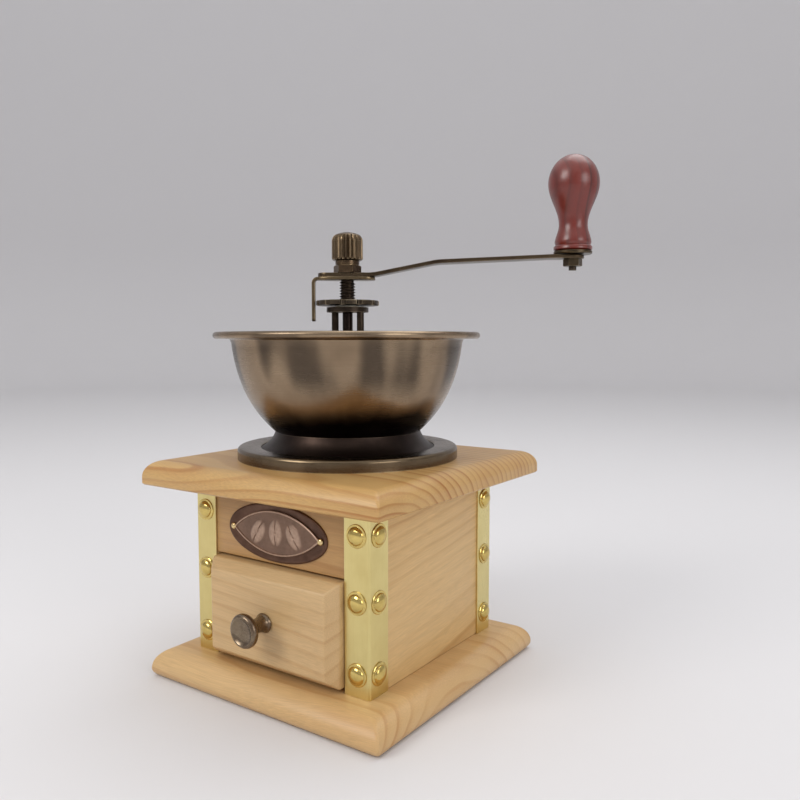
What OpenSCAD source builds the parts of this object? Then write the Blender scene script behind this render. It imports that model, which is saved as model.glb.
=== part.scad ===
// Hand-cranked box coffee mill with an open hopper and a grounds drawer.
// Origin: middle of the underside of the base board. +Z is up, the drawer faces -Y.
// The crank rests turned about Z by crank_angle from +X.

/* [Box] */
// Width and depth of the wooden box
box_w = 95; // [80:1:114]
// Height of the box between the two boards
box_h = 75; // [70:1:90]
// Thickness of the side, back and front panels
panel_t = 11.5; // [9:0.5:14]

/* [Boards] */
// How far the base board stands out beyond the box
base_overhang = 16; // [12:0.5:20]
// Thickness of the base board
base_t = 12; // [10:0.5:16]
// Radius of the lower round on the base board's edge
base_nose = 3.5; // [1:0.5:5]
// How far the top board stands out beyond the box
top_overhang = 17.5; // [12:0.5:22]
// Thickness of the top board
top_t = 10.5; // [8.5:0.5:14]
// Height of the square lower part of the top board's edge
top_edge = 3.5; // [1:0.5:5]

/* [Corner strips] */
// Width of each leg of a corner strip
strip_leg = 12.3; // [10:0.1:14]
// Thickness of the strip's sheet
strip_t = 0.8; // [0.5:0.1:1.2]
// Diameter of the domed nail heads
nail_head_d = 9.4; // [5:0.2:10]
// Height of the domed nail heads
nail_head_h = 2.2; // [1:0.1:3]
// Length of a nail's shank in the wood
nail_len = 9; // [6:0.5:9]
// Diameter of a nail's shank
nail_d = 1.6; // [1:0.1:2]

/* [Nameplate] */
// Width of the oval plate
plate_w = 55; // [40:1:62]
// Gap between the oval plate and the drawer front's opening
plate_gap_low = 1.1; // [1:0.1:4]
// Gap between the oval plate and the top board
plate_gap_high = 3.9; // [1:0.1:6]
// Thickness of the oval plate
plate_t = 0.9; // [0.5:0.1:1.5]

/* [Drawer] */
// Height of the drawer front
drawer_front_h = 42.5; // [38:0.5:51]
// Thickness of the drawer front
drawer_front_t = 14; // [12:0.5:18]
// How far the drawer front stands out of the box
drawer_proud = 8; // [5:0.5:10]
// Width of the bevel round the drawer front
drawer_bevel = 4; // [2:0.5:5]
// Depth of that bevel, from the face of the drawer front
drawer_bevel_depth = 5; // [3:0.5:6]
// Gap between the base board and the drawer front
drawer_lift = 2; // [1:0.5:3]
// Gap between the drawer front and the panel above it
drawer_head_gap = 1; // [0.5:0.1:2]
// Gap at each side of the drawer
drawer_side_gap = 0.5; // [0.3:0.1:1]
// Gap between the base board and the drawer's sides
drawer_run_gap = 0.3; // [0.1:0.1:1]
// Gap between the drawer's back and the box's back panel
drawer_back_gap = 2; // [1:0.5:5]
// Thickness of the drawer's sides and back
drawer_wall = 5; // [4:0.5:7]
// Height of the drawer's sides
drawer_wall_h = 36; // [30:0.5:38]
// Thickness of the drawer's floor
drawer_floor_t = 3; // [2:0.5:4]
// Diameter of the drawer knob's head
pull_d = 14; // [12:0.5:18]
// Diameter of the drawer knob's stem
pull_stem_d = 7; // [6:0.2:9]
// How far the drawer knob stands out of the drawer front
pull_len = 13; // [11:0.5:18]

/* [Hopper] */
// Outer diameter of the hopper's lip
rim_d = 120; // [110:1:140]
// Outer diameter of the bowl just under the lip
mouth_d = 104.4; // [96:0.2:110]
// Outer diameter of the bowl's neck
neck_d = 66; // [64:1:72]
// Height of the bowl from its floor to the top of the lip
hopper_h = 44.5; // [38:0.5:60]
// Thickness of the bowl's wall
bowl_wall = 2; // [1.5:0.1:2.5]
// Thickness of the lip
lip_t = 3; // [2.6:0.1:4]
// Diameter of the throat that the beans fall through
throat_d = 44; // [42:1:46]

/* [Mill foot] */
// Height of the foot between the top board and the bowl
foot_h = 12; // [10:0.5:16]
// Diameter of the foot's base plate
foot_plate_d = 98; // [94:1:106]
// Thickness of the foot's base plate
foot_plate_t = 2.4; // [2:0.1:3]
// Height of the trim ring
ring_h = 5.3; // [5:0.1:6]
// Thickness of the trim ring's sheet
ring_sheet = 0.8; // [0.6:0.1:1]

/* [Burrs] */
// Outer diameter of the outer burr's body
burr_d = 46; // [42:0.5:56]
// Height of the burrs below the top board's upper face
burr_depth = 27; // [24:1:30]
// Radial gap between the burrs
burr_gap = 0.5; // [0.4:0.1:1]
// Number of grooves in the outer burr
outer_grooves = 16; // [8:1:24]
// Number of grooves in the inner burr
inner_grooves = 9; // [5:1:12]

/* [Shaft] */
// Diameter of the plain lower shaft
shaft_d = 4.6; // [4:0.1:5.6]
// Diameter of the coarse thread that carries the adjusting plate
thread_d = 7.2; // [7:0.2:9]
// Diameter of the thread at the top of the shaft
top_thread_d = 5.6; // [5:0.2:6]
// Height of the bridge's top above the bowl's lip
bridge_rise = 11.2; // [10:0.2:20]
// Length of the coarse thread
thread_len = 11.3; // [10:0.1:16]
// Spread of the bridge's two posts
post_spread = 14.6; // [14:0.2:20]
// Diameter of the bridge's posts
post_d = 3.2; // [3:0.2:5]
// Length of the spring under the lower bar
spring_len = 7; // [5:0.5:7]
// Number of turns of the spring
spring_turns = 4; // [3:1:6]
// Diameter of the spring's wire
wire_d = 0.9; // [0.6:0.1:1.2]

/* [Adjuster and lock] */
// Diameter of the adjusting plate
adjust_d = 28.4; // [26:0.2:32]
// Thickness of the adjusting plate
adjust_t = 2.2; // [1.6:0.1:3]
// Number of notches round the adjusting plate
adjust_notches = 12; // [6:1:16]
// Thickness of the lock plate
lock_t = 1.5; // [1.2:0.1:2]
// Length of the lock plate's bent finger
finger_len = 20; // [12:0.5:20.5]

/* [Crank] */
// Angle of the crank at rest, from +X towards +Y
crank_angle = 35; // [0:1:359]
// Distance from the shaft to the handle's spindle
crank_reach = 102; // [85:1:130]
// Thickness of the crank arm
arm_t = 1.7; // [1.4:0.1:2.5]
// Width of the crank arm
arm_w = 10; // [9:0.5:13]
// How far the arm runs on behind the shaft
arm_tail = 13.3; // [10:0.1:14]
// Where the arm bends, from the shaft
arm_bend = 40.5; // [30:0.5:60]
// Height that the arm has gained at the bend
arm_bend_rise = 5.8; // [3:0.1:8]
// Height that the arm has gained at the handle
arm_end_rise = 8.2; // [6:0.1:14]

/* [Handle] */
// Height of the wooden knob
knob_h = 42.8; // [36:0.2:52]
// Diameter of the knob at its belly
knob_belly_d = 22.8; // [20:0.2:28]
// Diameter of the knob at its waist
knob_waist_d = 12.8; // [11.6:0.2:14]
// Diameter of the knob's foot and its ferrule
knob_foot_d = 17.2; // [15:0.2:20]
// Thickness of the ferrule
ferrule_t = 1.6; // [1.2:0.1:2]
// Diameter of the spindle inside the knob
spindle_d = 4.6; // [4:0.2:5]

/* [Fits] */
// Radial clearance of a shaft that turns in a hole
run_fit = 0.06; // [0.03:0.01:0.09]
// Radial clearance of a screw or spigot in its hole
seat_fit = 0.05; // [0.02:0.01:0.1]
// Axial gap between washers and plates that turn on each other
face_gap = 0.1; // [0.05:0.05:0.2]

/* [Hidden] */
$fn = 64;

half_box = box_w / 2;
base_w = box_w + 2 * base_overhang;
top_w = box_w + 2 * top_overhang;
box_top = base_t + box_h;
deck_z = box_top + top_t;
base_round = base_t - base_nose;
top_round = top_t - top_edge;
cut_over = 1;

// Drawer
bay_half = half_box - panel_t;
drawer_half = min(bay_half, half_box + strip_t - strip_leg) - drawer_side_gap;
drawer_z = base_t + drawer_lift;
rail_z = drawer_z + drawer_front_h + drawer_head_gap;
drawer_front_y = -half_box - drawer_proud;
drawer_inner_y = drawer_front_y + drawer_front_t;
drawer_back_y = half_box - panel_t - drawer_back_gap;
drawer_wall_z = base_t + drawer_run_gap;
drawer_floor_z = drawer_wall_z + 1;
pull_z = drawer_z + drawer_front_h / 2;
pull_bore_r = 1.8;
pull_bore_depth = 7;
pull_screw_r = pull_bore_r - seat_fit;

// Corner strips and nails
strip_face = half_box + strip_t;
nail_inset = strip_leg / 2;
nail_rows = [0.12, 0.5, 0.85];
strip_bend_r = 1.2;

// Nameplate
plate_h = box_top - rail_z - plate_gap_low - plate_gap_high;
plate_z = rail_z + plate_gap_low + plate_h / 2;
plate_points = 72;
plate_pin_x = plate_w / 2 - 3.2;
plate_border = 1;
plate_border_inset = 1.5;
plate_border_h = 0.5;
bean_h = 0.6;
bean_crease = 0.7;
bean_tilt = 20;
pin_dome_r = 1.4;
pin_r = 0.6;
pin_len = 7;

// Wood screws through the base board
base_screw_r = 1.75;
base_screw_head_r = 3.6;
base_screw_len = 26;
base_screw_x = half_box - panel_t / 2;
base_screw_y = half_box * 0.62;

// Foot, trim ring and bowl
neck_r = neck_d / 2;
throat_r = throat_d / 2;
foot_plate_r = foot_plate_d / 2;
foot_top = deck_z + foot_h;
foot_cove = [
    [neck_r + 10, foot_plate_t], [neck_r + 5.5, foot_plate_t + 2.6],
    [neck_r + 1.5, foot_h - 5], [neck_r, foot_h]
];
ring_hole_r = curve(foot_cove, 0.28)[0] + 0.3;
ring_inner_r = foot_plate_r + 0.2;
ring_r = ring_inner_r + ring_sheet;
ring_round = 1.6;
foot_screw_count = 4;
foot_screw_r = 1.5;
foot_screw_head_r = 2.7;
foot_screw_pcr = foot_plate_r - 3.1;
foot_screw_len = 9;

bowl_edge_h = hopper_h - lip_t;
bowl_flare = mouth_d / 2 - neck_r;
bowl_curve = [
    [neck_r, 0], [neck_r + 0.42 * bowl_flare, 0.17 * bowl_edge_h],
    [neck_r + 0.89 * bowl_flare, 0.46 * bowl_edge_h], [mouth_d / 2, bowl_edge_h]
];
bowl_steps = 16;
bowl_floor_z = foot_top + bowl_wall;
bowl_floor_r = neck_r - bowl_wall;
rim_z = foot_top + hopper_h;

// Burrs, seated under the foot
burr_r = burr_d / 2;
burr_spigot_r = throat_r - 2;
burr_spigot_h = 4;
burr_flange_r = burr_r + 6;
burr_flange_t = 3;
burr_hole_gap = 1;
burr_mouth_r = burr_spigot_r - 1.5;
burr_waist_r = burr_r - 7.5;
burr_skirt_r = burr_r - 5;
burr_waist_top = -8;
burr_waist_low = -14;
burr_tip_r = 5.5;
burr_tip_z = -1;
burr_shoulder_z = -11;
burr_low_gap = 0.4;
groove_depth = 1;
burr_screw_count = 3;
burr_screw_r = 1.5;
burr_screw_head_r = 2.5;
burr_screw_head_h = 2;
burr_screw_pcr = burr_r + 3.1;
burr_screw_grip = 6;

// Lower bar, spring and the shaft's tail
bar_t = 3;
bar_w = 9;
bar_z = deck_z - burr_depth - bar_t;
bar_screw_r = 1.2;
bar_screw_head_r = 2.2;
bar_screw_head_h = 1.6;
bar_screw_grip = 6;
bar_screw_x = (burr_skirt_r + burr_r) / 2;
tail_washer_t = 0.8;
tail_washer_r = 5.6;
tail_washer_z = bar_z - spring_len - tail_washer_t;
tail_pin_r = 0.8;
tail_pin_len = 9;
tail_pin_z = tail_washer_z - tail_pin_r;
shaft_low_z = tail_pin_z - 1.8;
spring_r = shaft_d / 2 + 1.6;

// Bridge
bridge_top = rim_z + bridge_rise;
bridge_plate_t = 2.2;
bridge_plate_r = post_spread / 2 + post_d / 2 + 0.6;
bridge_bar_t = 2.5;
bridge_bar_w = 9;
bridge_screw_x = (throat_r + neck_r) / 2;
bridge_bar_gap = 0.2;
bridge_bar_len = 2 * (sqrt(pow(bowl_floor_r, 2) - pow(bridge_bar_w / 2, 2)) - bridge_bar_gap);
bridge_screw_r = 1.9;
bridge_screw_head_r = 3.5;
bridge_screw_head_h = 2.4;
bridge_screw_grip = 8;
bush_r = shaft_d / 2 + 1.7;

// Shaft's upper end
washer_t = 0.6;
washer_r = 5.5;
washer_z = bridge_top + face_gap;
adjust_z = washer_z + washer_t + face_gap;
thread_z = adjust_z + face_gap;
lock_z = thread_z + thread_len;
arm_z = lock_z + lock_t;
square_side = 5;
nut_z = arm_z + arm_t;
nut_h = 5.6;
nut_r = 6.3;
cap_z = nut_z + nut_h;
cap_h = 12.8;
cap_r = 7;
cap_flutes = 22;
cap_bore_h = 8;
shaft_top_z = cap_z + cap_bore_h - 0.5;
shaft_r = shaft_d / 2;
thread_r = thread_d / 2;
top_thread_r = top_thread_d / 2;
burr_pin_r = 1;
burr_pin_z = deck_z - burr_depth + 6;

// Lock plate
finger_gap = 0.4;
finger_x = adjust_d / 2 + finger_gap;
finger_w = 4;
lock_reach = 12.6;

// Handle
arm_end_z = arm_z + arm_end_rise;
arm_level = 9;
spindle_r = spindle_d / 2;
spindle_end_r = 1.7;
shoulder_r = 2.6;
handle_gap = 0.3;
ferrule_z = arm_end_z + arm_t + handle_gap;
knob_z = ferrule_z + ferrule_t;
keeper_r = 3.6;
keeper_t = 1.6;
keeper_z = knob_z + handle_gap;
pocket_r = keeper_r + handle_gap;
pocket_top = keeper_z + keeper_t + handle_gap;
spindle_top = knob_z + knob_h * 0.72;
handle_nut_h = 3.4;
handle_nut_r = 4.3;
spindle_low_z = arm_end_z - handle_nut_h - 1.8;
knob_waist_z = knob_h * 0.27;
knob_belly_z = knob_h * 0.7;
knob_steps = 9;

pine = [0.80, 0.64, 0.42];
pine_dark = [0.74, 0.56, 0.34];
brass = [0.82, 0.74, 0.48];
bronze = [0.50, 0.45, 0.35];
dark_iron = [0.22, 0.18, 0.15];
steel = [0.55, 0.55, 0.55];
copper = [0.45, 0.33, 0.28];
lacquer = [0.50, 0.20, 0.16];

// A point on a cubic curve through its first and last control points
function curve(p, t) =
    pow(1 - t, 3) * p[0] + 3 * t * pow(1 - t, 2) * p[1]
    + 3 * t * t * (1 - t) * p[2] + pow(t, 3) * p[3];

// The curve's direction at the same place
function curve_way(p, t) =
    3 * pow(1 - t, 2) * (p[1] - p[0]) + 6 * t * (1 - t) * (p[2] - p[1])
    + 3 * t * t * (p[3] - p[2]);

// The same point moved by a distance to the left of the curve's direction
function curve_inside(p, t, gap) =
    let (way = curve_way(p, t))
    curve(p, t) + gap * [-way[1], way[0]] / norm(way);

// A half-cosine step from one radius to the next
function ease(from, to, t) = from + (to - from) * (1 - cos(180 * t)) / 2;

function oval(w, h) = [
    for (i = [0 : plate_points - 1])
        let (a = 360 * i / plate_points)
        [w / 2 * cos(a), h / 2 * sin(a)]
];

// One edge profile swept round a square board with mitred corners
module moulded_board(w) {
    intersection() {
        rotate([90, 0, 0])
            linear_extrude(height = w, center = true)
            children();
        rotate([90, 0, 90])
            linear_extrude(height = w, center = true)
            children();
    }
}

module base_section() {
    square_half = base_w / 2;
    translate([-square_half + base_round, 0])
        square([base_w - 2 * base_round, base_t]);
    translate([-square_half + base_nose, 0])
        square([base_w - 2 * base_nose, base_nose]);
    for (side = [-1, 1]) {
        translate([side * (square_half - base_nose), base_nose])
            circle(base_nose);
        intersection() {
            translate([side * (square_half - base_round), base_nose])
                circle(base_round);
            translate([-square_half, base_nose])
                square([base_w, base_t]);
        }
    }
}

module top_section() {
    square_half = top_w / 2;
    translate([-square_half, 0])
        square([top_w, top_edge]);
    translate([-square_half + top_round, 0])
        square([top_w - 2 * top_round, top_t]);
    intersection() {
        for (side = [-1, 1])
            translate([side * (square_half - top_round), top_edge])
            circle(top_round);
        translate([-square_half, top_edge])
            square([top_w, top_t]);
    }
}

module crank_frame() {
    rotate([0, 0, crank_angle]) children();
}

module round_pattern(count, radius) {
    for (i = [0 : count - 1])
        rotate([0, 0, 360 * i / count + 45])
        translate([radius, 0, 0])
        children();
}

module base_screw_places() {
    for (x = [-1, 1], y = [-1, 1])
        translate([x * base_screw_x, y * base_screw_y, 0])
        children();
}

module base_board() {
    color(pine)
    difference() {
        moulded_board(base_w) base_section();
        base_screw_places() {
            translate([0, 0, -cut_over])
                cylinder(r = base_screw_r + seat_fit, h = base_t + 2 * cut_over);
            translate([0, 0, -cut_over])
                cylinder(r = base_screw_head_r + 0.4, h = cut_over + 3);
        }
    }
}

module base_screws() {
    color(steel)
    base_screw_places() {
        translate([0, 0, 1])
            cylinder(r = base_screw_head_r, h = 2);
        translate([0, 0, 2])
            cylinder(r = base_screw_r, h = base_screw_len - 1);
    }
}

module side_panel(side) {
    color(pine)
    translate([side * (half_box - panel_t / 2), 0, base_t + box_h / 2])
        cube([panel_t, box_w, box_h], center = true);
}

module back_panel() {
    color(pine_dark)
    translate([-bay_half, bay_half, base_t])
        cube([2 * bay_half, panel_t, box_h]);
}

module front_rail() {
    color(pine)
    translate([-bay_half, -half_box, rail_z])
        cube([2 * bay_half, panel_t, box_top - rail_z]);
}

module top_board() {
    color(pine)
    difference() {
        translate([0, 0, box_top])
            moulded_board(top_w) top_section();
        translate([0, 0, box_top - cut_over])
            cylinder(r = burr_flange_r + burr_hole_gap, h = top_t + 2 * cut_over);
    }
}

// An angle strip that wraps one upright edge of the box
module corner_strip(x, y) {
    color(brass)
    translate([x * strip_face, y * strip_face, base_t])
    scale([-x, -y, 1])
    linear_extrude(height = box_h)
    difference() {
        union() {
            translate([strip_bend_r, 0]) square([strip_leg - strip_bend_r, strip_t]);
            translate([0, strip_bend_r]) square([strip_t, strip_leg - strip_bend_r]);
            translate([strip_bend_r, strip_bend_r]) circle(strip_bend_r);
        }
        translate([strip_t, strip_t]) square(strip_leg);
    }
}

module strip_nail() {
    head_sphere = (pow(nail_head_d / 2, 2) + pow(nail_head_h, 2)) / (2 * nail_head_h);
    intersection() {
        translate([0, 0, nail_head_h - head_sphere])
            sphere(head_sphere);
        cylinder(d = nail_head_d, h = nail_head_h);
    }
    translate([0, 0, -nail_len - strip_t])
        cylinder(d = nail_d, h = nail_len + strip_t + 0.5);
}

module strip_nails() {
    color(brass)
    for (turn = [0 : 90 : 270], side = [-1, 1], row = nail_rows)
        rotate([0, 0, turn])
        translate([side * (strip_face - nail_inset), -strip_face, base_t + row * box_h])
        rotate([90, 0, 0])
        strip_nail();
}

module inset_oval(inset) {
    polygon(oval(plate_w - 2 * inset, plate_h - 2 * inset));
}

// A smooth coffee-bean figure fills the middle of the plate
module nameplate() {
    color(copper)
    translate([0, -half_box, plate_z])
    rotate([90, 0, 0]) {
        linear_extrude(height = plate_t)
            polygon(oval(plate_w, plate_h));
        linear_extrude(height = plate_t + plate_border_h)
        difference() {
            inset_oval(plate_border_inset);
            inset_oval(plate_border_inset + plate_border);
        }
        linear_extrude(height = plate_t + bean_h)
        rotate(bean_tilt)
        difference() {
            polygon(oval(plate_h * 0.62, plate_h * 0.42));
            square([plate_h, bean_crease], center = true);
        }
    }
}

module nameplate_pins() {
    color(steel)
    for (side = [-1, 1])
        translate([side * plate_pin_x, -half_box - plate_t, plate_z])
        rotate([90, 0, 0]) {
            intersection() {
                translate([0, 0, -0.2]) sphere(pin_dome_r);
                cylinder(r = 2 * pin_dome_r, h = 2 * pin_dome_r);
            }
            translate([0, 0, -pin_len]) cylinder(r = pin_r, h = pin_len + 0.5);
        }
}

module drawer_front() {
    face_half = drawer_half - drawer_bevel;
    bevel_y = drawer_front_y + drawer_bevel_depth;
    color(pine)
    difference() {
        translate([-drawer_half, drawer_front_y, drawer_z])
            cube([2 * drawer_half, drawer_front_t, drawer_front_h]);
        for (side = [-1, 1]) {
            translate([0, 0, drawer_z - cut_over])
                linear_extrude(height = drawer_front_h + 2 * cut_over)
                polygon([
                    [side * face_half, drawer_front_y],
                    [side * (drawer_half + cut_over), drawer_front_y - cut_over],
                    [side * (drawer_half + cut_over), bevel_y],
                    [side * drawer_half, bevel_y]
                ]);
            translate([0, 0, drawer_z + drawer_front_h / 2])
                rotate([90, 0, 90])
                linear_extrude(height = 2 * drawer_half + 2 * cut_over, center = true)
                polygon([
                    [drawer_front_y, side * (drawer_front_h / 2 - drawer_bevel)],
                    [drawer_front_y - cut_over, side * (drawer_front_h / 2 + cut_over)],
                    [bevel_y, side * (drawer_front_h / 2 + cut_over)],
                    [bevel_y, side * drawer_front_h / 2]
                ]);
        }
        translate([0, drawer_inner_y + cut_over, pull_z])
            rotate([90, 0, 0])
            cylinder(r = pull_bore_r, h = drawer_front_t + 2 * cut_over);
    }
}

module drawer_side(side) {
    color(pine_dark)
    translate([side * (drawer_half - drawer_wall / 2), 0, 0])
    translate([-drawer_wall / 2, drawer_inner_y, drawer_wall_z])
        cube([drawer_wall, drawer_back_y - drawer_inner_y, drawer_wall_h]);
}

module drawer_back() {
    inner_half = drawer_half - drawer_wall;
    color(pine_dark)
    translate([-inner_half, drawer_back_y - drawer_wall, drawer_floor_z + drawer_floor_t])
        cube([2 * inner_half, drawer_wall, drawer_wall_z + drawer_wall_h - drawer_floor_z - drawer_floor_t]);
}

module drawer_floor() {
    inner_half = drawer_half - drawer_wall;
    color(pine_dark)
    translate([-inner_half, drawer_inner_y, drawer_floor_z])
        cube([2 * inner_half, drawer_back_y - drawer_inner_y, drawer_floor_t]);
}

module drawer_knob() {
    head_r = pull_d / 2;
    stem_r = pull_stem_d / 2;
    head_low = pull_len - 4.2;
    flare = [
        [stem_r, head_low], [stem_r, head_low + 1.5],
        [head_r - 2.2, head_low + 1], [head_r, pull_len - 1.5]
    ];
    dish = [
        [head_r - 0.7, pull_len], [head_r - 2, pull_len],
        [head_r / 2, pull_len - 1.4], [0, pull_len - 1.4]
    ];
    color(bronze)
    translate([0, drawer_front_y, pull_z])
    rotate([90, 0, 0])
    difference() {
        rotate_extrude()
            polygon(concat(
                [[0, 0], [stem_r, 0]],
                [for (i = [0 : 6]) curve(flare, i / 6)],
                [[head_r, pull_len - 0.7]],
                [for (i = [0 : 6]) curve(dish, i / 6)]
            ));
        translate([0, 0, -cut_over])
            cylinder(r = pull_bore_r, h = pull_bore_depth + cut_over);
    }
}

module drawer_knob_screw() {
    color(steel)
    translate([0, drawer_inner_y, pull_z])
    rotate([90, 0, 0]) {
        translate([0, 0, -2]) cylinder(r = 3.4, h = 2);
        cylinder(r = pull_screw_r, h = drawer_front_t + pull_bore_depth - 1);
    }
}

module foot_section() {
    polygon(concat(
        [[burr_spigot_r + seat_fit, 0], [foot_plate_r, 0], [foot_plate_r, foot_plate_t]],
        [for (i = [0 : 10]) curve(foot_cove, i / 10)],
        [[throat_r, foot_h], [burr_spigot_r + seat_fit, burr_spigot_h + 2]]
    ));
}

module mill_foot() {
    color(dark_iron)
    translate([0, 0, deck_z])
    difference() {
        rotate_extrude() foot_section();
        round_pattern(foot_screw_count, foot_screw_pcr)
            translate([0, 0, -cut_over])
            cylinder(r = foot_screw_r + seat_fit, h = foot_plate_t + 2 * cut_over);
        round_pattern(burr_screw_count, burr_screw_pcr)
            translate([0, 0, -cut_over])
            cylinder(r = burr_screw_r + seat_fit, h = burr_screw_grip + cut_over + 0.5);
        for (side = [-1, 1])
            translate([side * bridge_screw_x, 0, foot_h - bridge_screw_grip])
            cylinder(r = bridge_screw_r + seat_fit, h = bridge_screw_grip + cut_over);
    }
}

module foot_screws() {
    color(steel)
    translate([0, 0, deck_z])
    round_pattern(foot_screw_count, foot_screw_pcr) {
        translate([0, 0, foot_plate_t]) cylinder(r = foot_screw_head_r, h = 1.5);
        translate([0, 0, foot_plate_t - foot_screw_len])
            cylinder(r = foot_screw_r, h = foot_screw_len);
    }
}

module trim_ring() {
    color(bronze)
    translate([0, 0, deck_z])
    rotate_extrude()
    difference() {
        union() {
            translate([ring_hole_r, 0]) square([ring_r - ring_round - ring_hole_r, ring_h]);
            translate([ring_hole_r, 0]) square([ring_r - ring_hole_r, ring_h - ring_round]);
            translate([ring_r - ring_round, ring_h - ring_round]) circle(ring_round);
        }
        translate([ring_hole_r - cut_over, -cut_over])
            square([ring_inner_r - ring_hole_r + cut_over, ring_h - ring_sheet + cut_over]);
    }
}

module bowl_section() {
    polygon(concat(
        [[throat_r, 0]],
        [for (i = [0 : bowl_steps]) curve(bowl_curve, i / bowl_steps)],
        [[rim_d / 2 - lip_t / 2, bowl_edge_h], [rim_d / 2 - lip_t / 2, hopper_h]],
        [[mouth_d / 2 - bowl_wall + 1, hopper_h]],
        [for (i = [bowl_steps : -1 : 1]) curve_inside(bowl_curve, i / bowl_steps, bowl_wall)],
        [[bowl_floor_r, bowl_wall], [throat_r, bowl_wall]]
    ));
    translate([rim_d / 2 - lip_t / 2, hopper_h - lip_t / 2])
        circle(lip_t / 2);
}

module hopper_bowl() {
    color(bronze)
    translate([0, 0, foot_top])
    difference() {
        rotate_extrude() bowl_section();
        for (side = [-1, 1])
            translate([side * bridge_screw_x, 0, -cut_over])
            cylinder(r = bridge_screw_r + seat_fit, h = bowl_wall + 2 * cut_over);
    }
}

module outer_burr() {
    color(steel)
    translate([0, 0, deck_z])
    difference() {
        rotate_extrude()
            polygon([
                [burr_mouth_r, burr_spigot_h], [burr_spigot_r, burr_spigot_h],
                [burr_spigot_r, 0], [burr_flange_r, 0],
                [burr_flange_r, -burr_flange_t], [burr_r, -burr_flange_t],
                [burr_r, -burr_depth], [burr_skirt_r, -burr_depth],
                [burr_waist_r, burr_waist_low], [burr_waist_r, burr_waist_top]
            ]);
        for (i = [0 : outer_grooves - 1])
            rotate([0, 0, 360 * i / outer_grooves])
            translate([0, -0.6, -burr_depth - cut_over])
            cube([burr_waist_r + groove_depth, 1.2, burr_depth - burr_flange_t + cut_over]);
        round_pattern(burr_screw_count, burr_screw_pcr)
            translate([0, 0, -burr_flange_t - cut_over])
            cylinder(r = burr_screw_r + seat_fit, h = burr_flange_t + 2 * cut_over);
        for (side = [-1, 1])
            translate([side * bar_screw_x, 0, -burr_depth - cut_over])
            cylinder(r = bar_screw_r + seat_fit, h = bar_screw_grip + cut_over + 0.5);
    }
}

module burr_screws() {
    color(steel)
    translate([0, 0, deck_z])
    round_pattern(burr_screw_count, burr_screw_pcr) {
        translate([0, 0, -burr_flange_t - burr_screw_head_h])
            cylinder(r = burr_screw_head_r, h = burr_screw_head_h);
        translate([0, 0, -burr_flange_t])
            cylinder(r = burr_screw_r, h = burr_flange_t + burr_screw_grip);
    }
}

module inner_burr() {
    low_r = burr_skirt_r - burr_gap;
    waist_r = burr_waist_r - burr_gap;
    color(steel)
    crank_frame()
    translate([0, 0, deck_z])
    difference() {
        rotate_extrude()
            polygon([
                [shaft_r + seat_fit, burr_low_gap - burr_depth], [low_r, burr_low_gap - burr_depth],
                [waist_r, burr_waist_low], [waist_r - 2.5, burr_shoulder_z],
                [burr_tip_r, burr_tip_z], [shaft_r + seat_fit, burr_tip_z]
            ]);
        for (i = [0 : inner_grooves - 1])
            rotate([0, 0, 360 * i / inner_grooves])
            translate([burr_tip_r + 2.2, 0, 0])
            rotate([18, 0, 0])
            translate([0, -0.9, -burr_depth * 2])
            cube([burr_r, 1.8, burr_depth * 3]);
        translate([0, 0, -burr_depth + 6])
            rotate([0, 90, 0])
            cylinder(r = burr_pin_r + seat_fit, h = 2 * burr_r, center = true);
    }
}

module burr_pin() {
    pin_len = 2 * (burr_waist_r - 3);
    color(steel)
    crank_frame()
    translate([0, 0, burr_pin_z])
        rotate([0, 90, 0])
        cylinder(r = burr_pin_r, h = pin_len, center = true);
}

module lower_bar() {
    color(dark_iron)
    difference() {
        intersection() {
            translate([-burr_r, -bar_w / 2, bar_z])
                cube([burr_d, bar_w, bar_t]);
            translate([0, 0, bar_z - cut_over])
                cylinder(r = burr_r, h = bar_t + 2 * cut_over);
        }
        translate([0, 0, bar_z - cut_over])
            cylinder(r = shaft_r + run_fit, h = bar_t + 2 * cut_over);
        for (side = [-1, 1])
            translate([side * bar_screw_x, 0, bar_z - cut_over])
            cylinder(r = bar_screw_r + seat_fit, h = bar_t + 2 * cut_over);
    }
}

module bar_screws() {
    color(steel)
    for (side = [-1, 1])
        translate([side * bar_screw_x, 0, bar_z]) {
            translate([0, 0, -bar_screw_head_h])
                cylinder(r = bar_screw_head_r, h = bar_screw_head_h);
            cylinder(r = bar_screw_r, h = bar_t + bar_screw_grip);
        }
}

module bridge() {
    plate_low = bridge_top - bridge_plate_t;
    color(dark_iron)
    difference() {
        union() {
            translate([0, 0, plate_low])
                cylinder(r = bridge_plate_r, h = bridge_plate_t);
            for (side = [-1, 1])
                translate([side * post_spread / 2, 0, bowl_floor_z])
                cylinder(d = post_d, h = bridge_top - bowl_floor_z - bridge_plate_t / 2);
            translate([-bridge_bar_len / 2, -bridge_bar_w / 2, bowl_floor_z])
                cube([bridge_bar_len, bridge_bar_w, bridge_bar_t]);
        }
        translate([0, 0, plate_low - cut_over])
            cylinder(r = bush_r + seat_fit, h = bridge_plate_t + 2 * cut_over);
        translate([0, 0, bowl_floor_z - cut_over])
            cylinder(r = shaft_r + 0.8, h = bridge_bar_t + 2 * cut_over);
        for (side = [-1, 1])
            translate([side * bridge_screw_x, 0, bowl_floor_z - cut_over])
            cylinder(r = bridge_screw_r + seat_fit, h = bridge_bar_t + 2 * cut_over);
    }
}

module bridge_screws() {
    color(steel)
    for (side = [-1, 1])
        translate([side * bridge_screw_x, 0, bowl_floor_z + bridge_bar_t]) {
            cylinder(r = bridge_screw_head_r, h = bridge_screw_head_h);
            low = bridge_bar_t + bowl_wall + bridge_screw_grip - 0.5;
            translate([0, 0, -low]) cylinder(r = bridge_screw_r, h = low);
        }
}

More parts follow.
